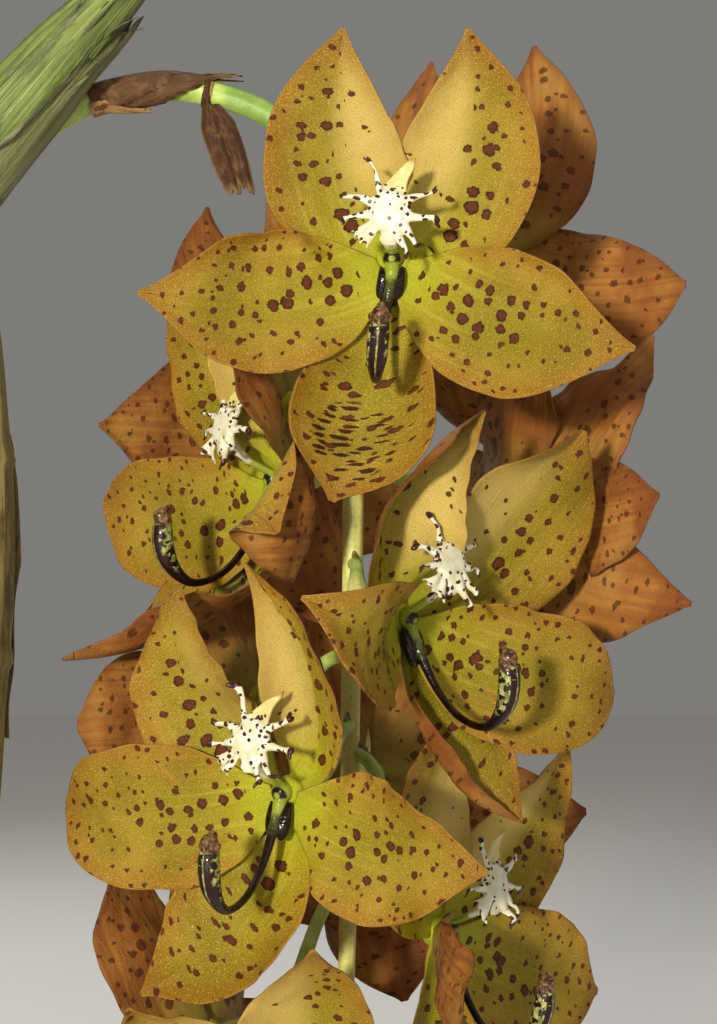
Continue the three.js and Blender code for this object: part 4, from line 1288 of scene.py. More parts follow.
for k, bract in enumerate(DRY_BRACTS):
    middle, u, v = bract_middle(bract, 20 + k)
    fields = {"flat": grid(v * 4 + 20 * k, u * 20), "edge": np.maximum(np.abs(v), u)}
    name = f"papery_bract_{k + 1}"
    shape = Shape()
    shape.add_sheet(middle, BRACT_THICKNESS, pale=bract["pale"] + 0 * u, **fields)
    place_piece(name, shape.mesh(name), DRY_PAPER, "dry_bract", f"dry_bract_{k + 1}")

# %% [markdown]
# ## The five tepals of a flower
# A flower has three sepals and two petals, all broad, thin and slightly cupped.
# Each is a sheet on a bent middle line. Its width, cup and waves change along it, and its rim is thin.
# The mesh also keeps where each point lies on the flattened tepal, which the spots need.

# %% Tepal outlines
TEPAL = {"length": 41, "width": 24.5, "thickness": 0.62, "root": 2.2, "rows": 68, "columns": 34}
NEAR = {0, 3, 5, 7}
FAR_ROWS, FAR_COLUMNS = 43, 22
OUTLINES = {
    # share of the length, share of the half width
    "pointed": [(0, 0.16), (0.08, 0.42), (0.18, 0.72), (0.3, 0.93), (0.42, 1), (0.55, 0.97), (0.66, 0.85),
                (0.76, 0.63), (0.85, 0.38), (0.92, 0.19), (0.97, 0.08), (1, 0.02)],
    "spoon": [(0, 0.16), (0.12, 0.36), (0.3, 0.64), (0.45, 0.86), (0.57, 0.98), (0.66, 1), (0.76, 0.86),
              (0.85, 0.57), (0.93, 0.25), (1, 0.02)],
    "tapered": [(0, 0.16), (0.08, 0.5), (0.18, 0.8), (0.3, 0.97), (0.42, 1), (0.54, 0.95), (0.64, 0.78),
                (0.74, 0.56), (0.84, 0.34), (0.93, 0.16), (1, 0.02)],
    "blunt": [(0, 0.16), (0.08, 0.42), (0.18, 0.72), (0.3, 0.92), (0.44, 1), (0.6, 1), (0.74, 0.93),
              (0.85, 0.76), (0.93, 0.5), (0.98, 0.2), (1, 0.02)],
    "sepal": [(0, 0.2), (0.08, 0.46), (0.18, 0.77), (0.28, 0.94), (0.38, 1), (0.5, 0.97), (0.62, 0.85),
              (0.74, 0.65), (0.85, 0.39), (0.93, 0.18), (1, 0.02)],
    "petal": [(0, 0.16), (0.08, 0.42), (0.18, 0.72), (0.3, 0.93), (0.42, 1), (0.56, 0.99), (0.7, 0.87),
              (0.81, 0.66), (0.9, 0.4), (0.96, 0.17), (1, 0.02)],
    "lower": [(0, 0.16), (0.1, 0.36), (0.24, 0.68), (0.38, 0.91), (0.5, 1), (0.64, 0.98), (0.76, 0.83),
              (0.86, 0.57), (0.94, 0.26), (1, 0.02)],
}


def outline(kind, u):
    """Half width of a tepal at u as a share of its widest."""
    return softened(u, OUTLINES[kind], 0.03)


print("outlines:", list(OUTLINES))

# %% [markdown]
# The middle line of a tepal leans forward or back along its length, and may swing and twist.
# Across it, the slope at each point adds up a cup, a fold at the midrib and a roll at each edge.
# The sums of those slopes give the width and the lift, so the sheet keeps its real width as it bends.


# %% Bending a tepal
def tepal_middle(axes, shape, seed, rows, columns):
    """The middle of a tepal's sheet, where each of its points lies on it, and its half width there."""
    rng = np.random.default_rng(seed)
    steps = 240
    fine = np.linspace(0, 1, steps)
    turn = np.radians(mix(shape["turn"][1], shape["turn"][0], (1 - fine) ** 1.8))
    curl = shape.get("curl", 0) * np.maximum(0, (fine - 0.55) / 0.45) ** 1.5
    lean = np.radians(np.interp(fine, np.linspace(0, 1, len(shape["lean"])), shape["lean"]) - curl)
    outward = turned(axes.lip, axes.side, turn)
    sideways = turned(axes.side, axes.lip, -turn)
    onward = unit(outward * np.cos(lean)[:, None] + axes.out * np.sin(lean)[:, None])
    raised = axes.out * np.cos(lean)[:, None] - outward * np.sin(lean)[:, None]
    twist = np.radians(ramp(shape.get("twist", 0), fine))
    sideways, raised = turned(sideways, raised, twist), turned(raised, -sideways, twist)
    start = axes.place([0, 0, shape["depth"]]) + outward[0] * TEPAL["root"]
    length = TEPAL["length"] * shape.get("long", 1)
    line = start + np.vstack([[0, 0, 0], np.cumsum(onward[:-1], axis=0)]) * length / steps
    u = mix(0.5 - 0.5 * np.cos(np.linspace(0, np.pi, rows)), np.linspace(0, 1, rows), 0.55)
    v = mix(np.sin(np.linspace(-1, 1, columns) * np.pi / 2), np.linspace(-1, 1, columns), 0.5)
    line, sideways, raised = (
        np.stack([np.interp(u, fine, table[:, k]) for k in range(3)], axis=1)
        for table in (line, sideways, raised)
    )
    grid_u, grid_v = np.meshgrid(u, v, indexing="ij")
    half = TEPAL["width"] / 2 * shape.get("wide", 1) * outline(shape["outline"], grid_u)
    ripple = np.sin(grid_u * 9 + seed) + 0.6 * np.sin(grid_u * 23 + seed * 2 + np.sign(grid_v))
    half = half * (1 + 0.022 * ripple)
    # The slope of the sheet across its width: a cup, a fold at the midrib, and rolled edges.
    slope = shape["cup"] * grid_v
    slope = slope + np.radians(ramp(shape.get("fold", 3), grid_u)) * np.tanh(grid_v / 0.06)
    for sign, key in ((-1, "left_edge"), (1, "right_edge")):
        roll = np.radians(ramp(shape.get(key, 0), grid_u))
        slope = slope + sign * roll * step(sign * grid_v, shape.get("roll_from", 0.35), 1.0)
    run = np.gradient(grid_v, axis=1)
    middle_column = np.abs(v).argmin()
    across, lift = (np.cumsum(part * run, axis=1) for part in (np.cos(slope), np.sin(slope)))
    across, lift = ((part - part[:, [middle_column]]) * half for part in (across, lift))
    phase = rng.uniform(0, 6.3, 6)
    pulse = rng.uniform(1.3, 2.4, 2)
    # Each margin has waves of its own, with finer ones on them.
    right, left = (
        np.sin(grid_u * pulse[i] * 6.28 + phase[i])
        + 0.4 * np.sin(grid_u * fine_wave + phase[i + 2])
        + 0.2 * np.sin(grid_u * finest_wave + phase[i + 4])
        for i, (fine_wave, finest_wave) in enumerate([(25, 52), (22, 47)])
    )
    wave = np.where(grid_v > 0, right, left)
    wave = wave * np.abs(grid_v) ** 3 * np.sin(np.pi * grid_u) ** 0.5 * shape.get("wave", 0.75)
    keel = -0.3 * np.exp(-((grid_v / 0.06) ** 2)) * np.sin(np.pi * np.clip(grid_u, 0, 0.97)) ** 0.5
    flat = np.stack([grid_v * 10, grid_u * 34], axis=-1)
    puff = 0.55 * wobble(flat, 17, seed + 1) + 0.1 * wobble(flat, 5, seed + 2)
    puff = puff * np.sin(np.pi * grid_u) ** 0.7 * step(np.hypot(grid_u * 3, grid_v), 0.1, 0.8)
    for at_u, at_v, size, height in shape.get("dents", []):
        away = np.hypot((grid_u - at_u) * length, (grid_v - at_v) * half)
        puff = puff + height * np.exp(-((away / size) ** 2))
    lift = lift + wave + keel + puff
    points = line[:, None] + sideways[:, None] * across[..., None] + raised[:, None] * lift[..., None]
    for one, other, radius, angle in shape.get("bends", []):
        ends_at = [(np.abs(u - a).argmin(), np.abs(v - b).argmin()) for a, b in (one, other)]
        row, column = ((ends_at[0][i] + ends_at[1][i]) // 2 for i in (0, 1))
        normals = unit(np.cross(np.gradient(points, axis=1), np.gradient(points, axis=0)))
        ends = [points[at] for at in ends_at]
        points = bent(points, ends, normals[row, column], points[-1, columns // 2], radius, angle)
    return points, grid_u, grid_v, half


def bent(points, ends, normal, tip, radius, angle):
    """Folds what lies on the tip's side of the line between two ends over a round of that radius."""
    start, end = ends
    axis = unit(end - start)
    ahead = np.cross(normal, axis)
    ahead = ahead if (tip - start) @ ahead > 0 else -ahead
    off = points - start
    along, beyond, above = off @ axis, off @ ahead, off @ normal
    way, most = np.sign(angle), abs(math.radians(angle))
    turn = np.clip(beyond / radius, 0, most)
    rest = np.maximum(beyond - radius * most, 0)
    arm = radius - way * above
    onward = np.where(beyond > 0, arm * np.sin(turn) + rest * np.cos(turn), beyond)
    lifted = np.where(beyond > 0, way * (radius - arm * np.cos(turn) + rest * np.sin(turn)), above)
    return start + along[..., None] * axis + onward[..., None] * ahead + lifted[..., None] * normal


print("points a side:", TEPAL["rows"] * TEPAL["columns"], "near,", FAR_ROWS * FAR_COLUMNS, "far")

# %% [markdown]
# Spots crowd on the outer half of the upper sepals and all over the petals, and are boldest by the midrib.
# Those numbers go on the mesh here, with the flattened place of each point, which the spots are drawn on.


# %% One flower's tepals
def spotting(name, u, s):
    """Share of the spots that show, and how bold they are, where s > 0 is the outer half."""
    ends = step(u, 0.07, 0.15) * (1 - step(u, 0.95, 0.985))
    middle = np.exp(-((s / 0.45) ** 2))
    if name.startswith("upper"):
        shown = ends * mix(0.16, 0.95, step(s, -0.25, 0.1))
        bold = np.exp(-(((s - 0.2) / 0.3) ** 2)) * (1 - 0.75 * step(u, 0.35, 0.8))
    elif name == "lower":
        shown = step(u, 0.1, 0.25) * (1 - step(u, 0.95, 0.985))
        bold = 0.6 * middle * (1 - 0.9 * step(u, 0.45, 0.65))
    else:
        shown = ends * 0.95
        bold = middle * (1 - 0.8 * step(u, 0.35, 0.75))
    return shown, bold


# How much narrower the spots' pattern is than the tepal, which draws the spots out across it.
SQUEEZE = {"lower": 0.55, "upper_left": 0.78, "upper_right": 0.84, "left": 0.94, "right": 0.94}


def tepals_of(number):
    """The five tepals of one flower and the hub that joins them."""
    axes, bloom = AXES[number], BLOOMS[number]
    rows, columns = (TEPAL["rows"], TEPAL["columns"]) if number in NEAR else (FAR_ROWS, FAR_COLUMNS)
    shape = Shape()
    for k, (name, plain) in enumerate(TEPALS.items()):
        form = plain | bloom.get(name, {})
        dashes = form.get("dashes", 0)
        middle, u, v, half = tepal_middle(axes, form, number * 10 + k, rows, columns)
        thin = TEPAL["thickness"] * (1 - 0.62 * np.abs(v) ** 5) * (1 - 0.4 * step(u, 0.85, 1))
        thin = thin + 0.35 * (1 - step(u, 0, 0.15))
        s = -v if name in ("upper_left", "left") else v
        shown, bold = spotting(name, u, s)
        # Rows of dashes rise towards both margins, and cross the sepal level although it swings aside.
        bow = 0.03 * (half * v) ** 2 if name == "lower" else 0 * u
        bow = bow - 0.33 * half * v * dashes
        flat = grid(half * v * SQUEEZE[name] + 57 * k, u * TEPAL["length"] + bow + 61 * number)
        rim = np.minimum(half * (1 - np.abs(v)), (1 - u) * TEPAL["length"] * 0.6)
        # glow is a cream tone on the inner half of each upper sepal, partly its own paler tone and partly a
        # painted highlight, as strong as each flower sets
        glow = 0 * u
        if name.startswith("upper"):
            glow = step(s, 0.2, -0.42) * (1 - 0.55 * step(u, 0.62, 0.95)) * form.get("glow", 1)
        hollow = np.hypot((u - 0.76) / 0.22, v / 0.68)
        dashed = (1 - step(hollow, 0.7, 1.1)) * dashes
        fields = {"shown": shown, "bold": bold, "glow": glow, "dashed": dashed}
        shape.add_sheet(middle, thin, along=u, across=v, flat=flat, rim=rim, **fields)
    t = np.linspace(0, 1, 26)
    hub_line = axes.place(grid(0.0, 0.0, mix(HUB["back"], HUB["front"], t)))
    hub = HUB["radius"] * np.sqrt(np.maximum(1 - (2 * t - 1) ** 4, 0.0)) + 0.05
    points, faces = rod(hub_line, hub, 28)
    shape.add(points, faces, rim=np.full(len(points), 9.0), flat=points)
    return shape


def place_on_blooms(kind, made, material, slot, part, near=1.0, far=1.0):
    """Shows one piece for every flower, thinned to one share for the near ones and one for the rest."""
    for number in range(len(BLOOMS)):
        bloom = f"bloom_{number + 1:02d}"
        mesh = made(number).mesh(f"{kind}_{bloom}", near if number in NEAR else far)
        place_piece(f"{kind}_{bloom}", mesh, material, slot, f"{bloom}_{part}")


print("one flower:", tepals_of(0).count, "points")

# %% [markdown]
# ## Tepal skin
# The face is ochre over yellow-green: green at the centre and along the midrib, tan towards the margin, with
# a thin pale rim. The inner half of each upper sepal is cream, partly its own paler tone and partly a
# painted
# highlight. Its cells glitter: tiny pale specks, painted glints over a real fine grain, break up the colour.
# Maroon spots are large by the midrib and small outwards, each with a darker outline. They are the cells of
# a random pattern on the flattened tepal, cut off at a radius that differs from cell to cell. The back is
# red-brown with long veins, and has painted glints too.

# %% Tepal finish
skin = Finish("spotted_tepal")
u, v, rim = skin.field("along"), skin.field("across"), skin.field("rim")
# glow carries the painted highlight on the inner half of the upper sepals
flat, back, glow = skin.field("flat", "Vector"), skin.field("back"), skin.field("glow")


def spots(place, cell, small, large, share):
    """Mask and core of spots about cell millimetres apart, with radii from small to large."""
    ragged = skin.shake(skin.shake(place, 0.9, 1.0), 3.2, 0.42)
    away = skin.cells(ragged, 1 / cell, "Distance", 0.8) * cell
    draw = skin.cells(ragged, 1 / cell, "Color", 0.8)
    size = (small + (large - small) * skin.field("bold")) * (0.7 + 0.6 * skin.part(draw, "X"))
    kept = skin.part(draw, "Y") < share * skin.field("shown")
    return skin.step(away - size, 0.09, -0.09) * kept, skin.step(away - size * 0.7, 0.14, -0.14) * kept


big, big_core = spots(flat, 3.0, 0.4, 0.95, 0.88)
little, little_core = spots(skin.moved(flat, 50, 9, 3), 2.7, 0.28, 0.4, 0.36)
dash, _ = spots(skin.stretched(flat, 0.62, 1.35, 1.0), 1.5, 0.42, 0.42, 1.0)
spot = skin.most(skin.most(big, little), dash * skin.step(skin.field("dashed"), 0.2, 0.5))
core = skin.most(big_core, little_core * 0.7)
grain = skin.noise(flat, 4.6, 3.0, rough=0.7)
# glint makes tiny specks: in the colour they are painted glints of the glittering cells, in the bump and
# roughness a real fine grain
glint = skin.noise(skin.moved(flat, 7, 3, 1), 5.4, 2.0, rough=0.7)
cloud = skin.noise(flat, 0.09, 3.0)
long_vein = skin.noise(skin.stretched(flat, 1.0, 0.035, 1.0), 1.1, 3.0)
crinkle = skin.noise(skin.stretched(flat, 1.0, 0.5, 1.0), 0.35, 4.0, rough=0.6)

maroon = skin.mix("2e0b05", "581f10", core)
# painted glints in the spots
maroon = skin.mix(maroon, "8a4528", skin.step(glint, 0.5, 0.7) * (0.15 + 0.45 * core))
margin = skin.step(rim, 4.5, 0.3) * skin.step(u, 0.05, 0.3) * (1 - 0.5 * glow)
face = skin.coats(
    "836a14",
    ("9f8026", cloud, 0.35, 0.65),
    ("86820e", skin.step(abs(v), 0.7, 0.1) * skin.step(u, 0.95, 0.35) * 0.6),
    # cream: the sepal's own paler inner tone and a painted highlight
    ("d4b866", glow * 0.9),
    ("a89c16", u, 0.42, 0.05, 0.9),
    ("a8b01e", u, 0.22, 0.02, 0.85),
    ("c6bc46", skin.step(long_vein, 0.5, 0.66) * skin.step(u, 0.62, 0.08) * 0.4),
    ("96611a", margin * 0.6),
    ("8a5a20", u, 0.76, 1.0, 0.5),
    ("553f08", grain, 0.5, 0.32, 0.6),
    ("bb9a26", grain, 0.52, 0.68, 0.6),
    # painted glints of the glittering cells
    ("e6cc62", glint, 0.56, 0.72, 0.6),
    (maroon, spot * 0.97),
    ("b98c4a", rim, 0.16, 0.03, 0.35),
)
rear = skin.coats(
    "905826",
    ("b07632", long_vein, 0.3, 0.7),
    ("7a3f18", cloud, 0.42, 0.62, 0.7),
    ("a5803e", cloud, 0.46, 0.3, 0.5),
    ("938936", u, 0.38, 0.0, 0.8),
    ("3a120a", spot * 0.75),
    ("552613", rim, 2.5, 0.0, 0.4),
    # painted glints on the back
    ("b07e44", glint, 0.56, 0.76, 0.4),
)
relief = skin.bump((long_vein, 0.18), (crinkle * back, 0.6), (grain + glint, 0.13))
rough = 0.48 - 0.22 * skin.step(glint, 0.5, 0.7) + 0.12 * back
TEPAL_SKIN = skin.done(
    skin.mix(face, rear, back), rough, relief, Specular_IOR_Level=0.18,
    Subsurface_Weight=0.1, Subsurface_Radius=(0.004, 0.003, 0.001), Subsurface_Scale=0.25,
)
place_on_blooms("spotted", tepals_of, TEPAL_SKIN, "tepal", "tepals")

# %% [markdown]
# ## Melting parts into one skin
# A lip has a cushion, fingers and a claw that run into each other with no seam.
# They could be sculpted as one, but it is easier to overlap closed parts and wrap them in a new skin.
# A voxel remesh does that, and a little smoothing takes away its steps.


# %% Melting
def melt(parts, voxel, rounds):
    """Wraps overlapping closed parts in one skin. Returns its points and faces, in millimetres."""
    rough = Shape()
    for points, faces in parts:
        rough.add(np.asarray(points) / MM, faces)
    wrap = ("REMESH", {"mode": "VOXEL", "voxel_size": voxel})
    ease = ("SMOOTH", {"factor": 0.5, "iterations": rounds})
    made = worked(rough.mesh("rough"), wrap, ease)
    points = np.zeros(len(made.vertices) * 3)
    made.vertices.foreach_get("co", points)
    return points.reshape(-1, 3), np.array([p.vertices[:] for p in made.polygons])


def cushion(radius, low, high, rows=24, sides=48, power=2.4):
    """A closed dome on a flatter base, round as seen from the front."""
    t = np.linspace(0, 1, rows)
    edge = (1 - np.abs(2 * t - 1) ** power) ** (1 / power)
    return rod(grid(0.0, 0.0, mix(low, high, t)), radius * np.maximum(edge, 0.02), sides)


print("a cushion has", len(cushion(2, -1, 1)[0]), "points before it melts")


# %% [markdown]
# ## The lip
# The lip is a waxy white cushion as wide as a shirt button, ringed by fingers with dark knobbed ends.
# A flat yellow point stands at its top, and a claw below joins it to the middle of the flower.
# Every flower has the same lip with a slightly different twist, so it is made once and bent each time.

# %% Lip shape
LIP = {"along": 9.8, "forward": 11, "radius": 3.75, "tilt": 14}
FINGERS = [
    # turn from the point, reach, radius at the root, radius at the end, forward bend
    (61, 8.3, 0.8, 0.42, 0.6), (103, 8.2, 0.85, 0.4, -0.3), (137, 8.0, 0.95, 0.4, 0.3),
    (159, 8.3, 1.05, 0.38, 0.5), (-101, 7.9, 0.8, 0.34, 0.2), (-68, 8.0, 0.85, 0.44, 0.2),
    (-26, 9.0, 0.62, 0.4, 1.0),
]
POINT_TURN, POINT_REACH = 23, 9.6
LOBE_THICKNESS, TONGUE_THICKNESS = 0.62, 0.8
FAN = {"from": -154, "to": -116, "reach": 7.3, "teeth": 4}


def polar(turn, radius):
    """A spot on the lip's face, with turn in degrees clockwise from its top."""
    angle = np.radians(turn)
    return np.stack([np.sin(angle) * radius, np.cos(angle) * radius], axis=-1)


def finger(turn, reach, root, end, bend):
    """A tapering finger with a broad end, as parts to melt together."""
    t = np.linspace(0, 1, 24)
    spot = polar(turn + 4 * np.sin(t * 3 + turn), mix(2.2, reach, t))
    line = np.column_stack([spot, 0.15 + bend * t**1.6])
    girth = mix(root, end, step(t, 0.1, 0.75)) + end * 0.25 * step(t, 0.8, 0.95)
    parts = [rod(line, girth * np.minimum(1, (1.02 - t) * 14) ** 0.5, 14)]
    for side in (-4.5, 4.5):
        notch = np.column_stack([polar(turn + side * t, reach - 0.8 + 1.0 * t), bend + 0 * t])[::4]
        parts.append(rod(notch, [end * 0.72] * len(notch), 10))
    return parts


def lip_point():
    """The flat yellow triangle at the top of the lip, set a little behind its cushion."""
    t = np.linspace(0, 1, 24)[:, None]
    v = np.linspace(-1, 1, 15)[None]
    half = mix(3.0, 0.2, t**0.85)
    middle = polar(mix(4, POINT_TURN, step(t, 0, 0.8)), mix(1.6, POINT_REACH, t))
    lift = -0.35 - 0.5 * t + 0.9 * t**3 + 0.5 * np.abs(v) ** 2 * (1 - t)
    return sheet(grid(middle[..., 0] + half * v, middle[..., 1], lift), LOBE_THICKNESS)


def lip_fan():
    """The broad lobe at the lower left, with teeth along its end."""
    t = np.linspace(0, 1, 20)[:, None]
    v = np.linspace(0, 1, 25)[None]
    turn = mix(FAN["from"], FAN["to"], v) + 10 * (1 - t) * (0.5 - v)
    reach = mix(2.0, FAN["reach"] - 0.55 + 0.5 * np.cos(v * FAN["teeth"] * 6.28), t)
    spot = polar(turn, reach)
    middle = grid(spot[..., 0], spot[..., 1], 0.3 - 0.6 * t**2 + 0.4 * np.sin(v * 9) * t)
    return sheet(middle[:, ::-1], LOBE_THICKNESS)


def lip_tongue():
    """The short broad tongue that runs down from the cushion to the claw."""
    t = np.linspace(0, 1, 18)[:, None]
    v = np.linspace(-1, 1, 13)[None]
    half = 1.15 + 0.35 * np.exp(-(((t - 0.72) / 0.13) ** 2)) - 0.25 * t**4
    middle = grid(half * v, -2.2 - 2.9 * t, 0.3 - 0.9 * t**2 - 0.25 * v**2)
    return sheet(middle[:, ::-1], TONGUE_THICKNESS)


print("lip:", len(FINGERS), "fingers, a point, a fan and a tongue")

# %% [markdown]
# The lip's own face is tilted on the flower, so two short sums turn places from one to the other.
# The claw has to start at the middle of the flower. Its stops are given there and turned to the lip's face.

# %% Joining the lip
tilt = math.radians(LIP["tilt"])
LIP_CENTRE = np.array([0, LIP["along"], LIP["forward"]])
LIP_RISE = np.array([0, math.cos(tilt), -math.sin(tilt)])
LIP_FACE = np.array([0, math.sin(tilt), math.cos(tilt)])


def lip_to_flower(points):
    """From the lip's own face to across, towards the lip and forward of the flower."""
    return LIP_CENTRE + points[:, :1] * [1, 0, 0] + points[:, 1:2] * LIP_RISE + points[:, 2:] * LIP_FACE


def flower_to_lip(points):
    """The way back, for what has to meet the middle of the flower."""
    away = points - LIP_CENTRE
    return grid(away[:, 0], away @ LIP_RISE, away @ LIP_FACE)


claw_stops = np.array([[0, 1.6, 1.7], [0, 3.0, 5.0], [0, 5.0, 8.4]])
claw_stops = np.vstack([flower_to_lip(claw_stops), [[0, -1.5, -0.5]]])
claw_line = curve_through(claw_stops, 40)
claw_t = np.linspace(0, 1, 40)
claw = rod(claw_line, 1.1 + 0.4 * step(claw_t, 0.4, 0.9), 18, first=(1, 0, 0), oval=0.55)
parts = [cushion(LIP["radius"] - 0.3, -0.9, 1.15, power=3.0), claw, lip_point(), lip_fan(), lip_tongue()]
for numbers in FINGERS:
    parts += finger(*numbers)
lip_points, lip_faces = melt(parts, 0.2, 3)
print("lip:", len(lip_faces), "faces, about", np.round(np.ptp(lip_points, axis=0), 1), "mm")

# %% [markdown]
# The wax is ivory white and catches the light in a soft, wet way. Small maroon dots ring the cushion and
# run out along the fingers, whose ends are dark. The point turns yellow and then tan, and the foot of the
# claw is green with one black horseshoe. All of it is placed by radius and angle on the lip's own face.

# %% Lip finish
wax = Finish("lip_wax")
place = wax.field("place", "Vector")
far, point_share, foot = wax.field("far"), wax.field("point"), wax.field("foot")
ragged = wax.shake(place, 1.8, 0.35)
dot_draw = wax.cells(ragged, 1.1, "Color")
dot_size = 0.22 + 0.22 * wax.part(dot_draw, "Y")
dots = wax.step(wax.cells(ragged, 1.1) - dot_size, 0.03, -0.03)
dots = dots * (wax.part(dot_draw, "X") < wax.field("dotted"))
bars = wax.step(wax.field("bar") + 0.7 * (wax.noise(place, 1.4, 2.0) - 0.5), 0.5, 0.6)
base = wax.coats(
    "d9d1ab",
    ("e9e6cf", wax.noise(place, 0.5, 2.0), 0.35, 0.65),
    ("d6c678", point_share * 0.9),
    ("b98436", wax.step(far, 7.9, 9.3) * point_share),
    ("3a1014", wax.most(dots, bars)),
    ("a7b040", foot, 0.35, 0.75),
)
LIP_WAX = wax.done(
    base, 0.34, wax.bump((wax.noise(place, 2.2, 3.0), 0.05)), Specular_IOR_Level=0.45,
    Subsurface_Weight=0.2, Subsurface_Radius=(0.003, 0.0025, 0.0015), Subsurface_Scale=0.3,
)

# %% [markdown]
# Each point of the melted lip gets its distance and angle on the face, and from them what mark it carries.
# Then the lip is put on each flower, with its fingers swung by an unevenness that differs each time.

# %% Marks and places of the lip
far = np.linalg.norm(lip_points[:, :2], axis=1)
angle = np.degrees(np.arctan2(lip_points[:, 0], lip_points[:, 1]))
in_flower = lip_to_flower(lip_points)
foot = step(in_flower[:, 2], 8.2, 5.6) * step(in_flower[:, 1], 7.0, 5.0)
point_share = step(np.abs(angle - POINT_TURN * 0.6), 33, 22) * step(far, 3.2, 4.2)
point_share = point_share * step(lip_points[:, 2], 1.1, 0.6) * step(np.abs(angle + 26), 5, 12)
# Bars run along the middle of each finger, with a dark end. Dots ring the cushion's upper rim.
turns, reaches = np.array(FINGERS)[:, :2].T
gap = np.abs((angle[:, None] - turns + 180) % 360 - 180)
which = gap.argmin(axis=1)
off = np.radians(gap.min(axis=1)) * far
bar = step(off, 0.42, 0.2) * step(far, 4.4, 4.9) * (0.5 + 0.35 * np.sin(far * 3.1 + which * 2.0))
end = step(far - reaches[which], -1.0, -0.6)
bar = np.maximum(bar, end) * step(off, 1.4, 1.1) * step(far, 3.8, 4.4)
dotted = step(far, 1.9, 3.1) * (1 - step(far, 4.3, 5.2)) * mix(0.3, 1.0, step(np.abs(angle), 125, 70))
dotted = np.maximum(dotted, 0.16) + 0.5 * step(far, 5.5, 6.5) * step(angle, -110, -125)
dotted = dotted * (1 - step(far, 3.8, 4.6) * step(np.abs(angle - 10), 40, 25)) * (1 - step(foot, 0.1, 0.4))


def lip_of(number):
    """The lip in its place on one flower, with its fingers swung and its face rolled a little."""
    rng = np.random.default_rng(300 + number)
    flat = lip_points[:, :2]
    swing = grid(*(wobble(flat, size, seed + number) for size, seed in ((7, 310), (8, 330), (6, 350))))
    reach = step(far, 3.5, 8.5)[:, None]
    x, y, z = (lip_points + swing * reach * [0.5, 0.5, 0.7] * (1 - foot)[:, None]).T
    x, y = spun(x, y, math.radians(rng.uniform(-5, 5)) * (1 - foot))
    x, y, z = lip_to_flower(grid(x, y, z)).T
    dip = math.radians(BLOOMS[number].get("column", (0, 0))[0])
    z, y = spun(z, y, dip * step(z, 0.5, 5))
    fields = {"far": far, "point": point_share, "foot": foot, "bar": bar, "dotted": dotted}
    shape = Shape()
    shape.add(AXES[number].place(grid(x, y, z)), lip_faces, place=lip_points + number * 17, **fields)
    return shape


place_on_blooms("lip", lip_of, LIP_WAX, "lip", "lip", near=0.75, far=0.33)

# %% [markdown]
# ## The swan's neck
# The column gives the plant its name: a thin black neck that sweeps out and up, and swells to a head.
# It is a rod whose girth changes along its curve. Two glossy lobes and a knob sit at its root.
# The head is flattened, with a cap over the pollen and a short beak, and it melts into the neck.

# %% Column shape
COLUMN_PATH = [
    (-0.6, 1.3), (-5, 3), (-11, 6.5), (-15.4, 11.5), (-16.4, 17), (-13, 21), (-8, 22.2), (-4.8, 21.4),
]
COLUMN_GIRTH = [
    (0, 1.15), (0.12, 0.9), (0.3, 0.64), (0.6, 0.64), (0.7, 1.05), (0.8, 1.7), (0.88, 1.85), (0.95, 1.7),
    (1, 1.0),
]
LOBE = {"across": 1.35, "along": -3.9, "forward": 1.9, "half": 3.2, "radius": 1.2}

neck_line = curve_through([(0, a, HUB["front"] + f) for a, f in COLUMN_PATH], 220)
neck_t = np.linspace(0, 1, len(neck_line))
neck_girth = softened(neck_t, COLUMN_GIRTH, 0.03) * np.minimum(1, (1.004 - neck_t) * 40) ** 0.5
neck = rod(neck_line, neck_girth, 22, first=(1, 0, 0))


def lobe_line(side):
    """Middle line and girth of one wing: blunt below, pointed above and spread outwards."""
    t = np.linspace(0, 1, 30)
    across = side * mix(LOBE["across"] * 0.62, LOBE["across"] * 1.35, t**1.4)
    along = LOBE["along"] + mix(-LOBE["half"], LOBE["half"], t)
    middle = grid(across, along, HUB["front"] + LOBE["forward"] - 0.9 * t**2)
    return middle, LOBE["radius"] * np.sin(np.pi * np.clip(t * 0.95 + 0.03, 0, 1) ** 0.8) ** 0.75


def ball(centre, radius, oval=1.0):
    """A ball, or a flatter one, at a place on the column."""
    t = np.linspace(0, 1, 14)
    line = np.array(centre) + grid(0.0, (2 * t - 1) * radius)
    return rod(line, radius * np.sqrt(np.maximum(1 - (2 * t - 1) ** 2, 0.001)), 18, oval=oval)


front = HUB["front"]
parts = [neck, *(rod(*lobe_line(side), 20) for side in (-1, 1))]
parts += [ball((0, -3.2, front + 2.9), 0.75), ball((0, 0.7, front + 0.6), 1.75)]  # the knobs at the root
parts += [ball((0, -5.2, front + 22.2), 1.6, 0.9), ball((0, -4.0, front + 21.2), 0.8)]  # cap and beak
parts += [ball((side * 1.25, -5.6, front + 22.0), 0.75) for side in (-1, 1)]
column_points, column_faces = melt(parts, 0.19, 3)
off = column_points[:, None, 1:] - neck_line[None, ::4, 1:]
column_t = neck_t[::4][(off**2).sum(-1).argmin(axis=1)]
lobe_depth = np.max([
    (girth - np.linalg.norm(column_points[:, None] - middle, axis=2)).max(axis=1)
    for middle, girth in (lobe_line(-1), lobe_line(1))
], axis=0)
print("column:", len(column_faces), "faces, about", np.round(np.ptp(column_points, axis=0), 1), "mm")

# %% [markdown]
# The neck is black with a hint of red and as glossy as lacquer. The head is green-yellow under broken
# dark stripes that run lengthways, and its cap is a wrinkled brown. A clear coat gives the wet shine.

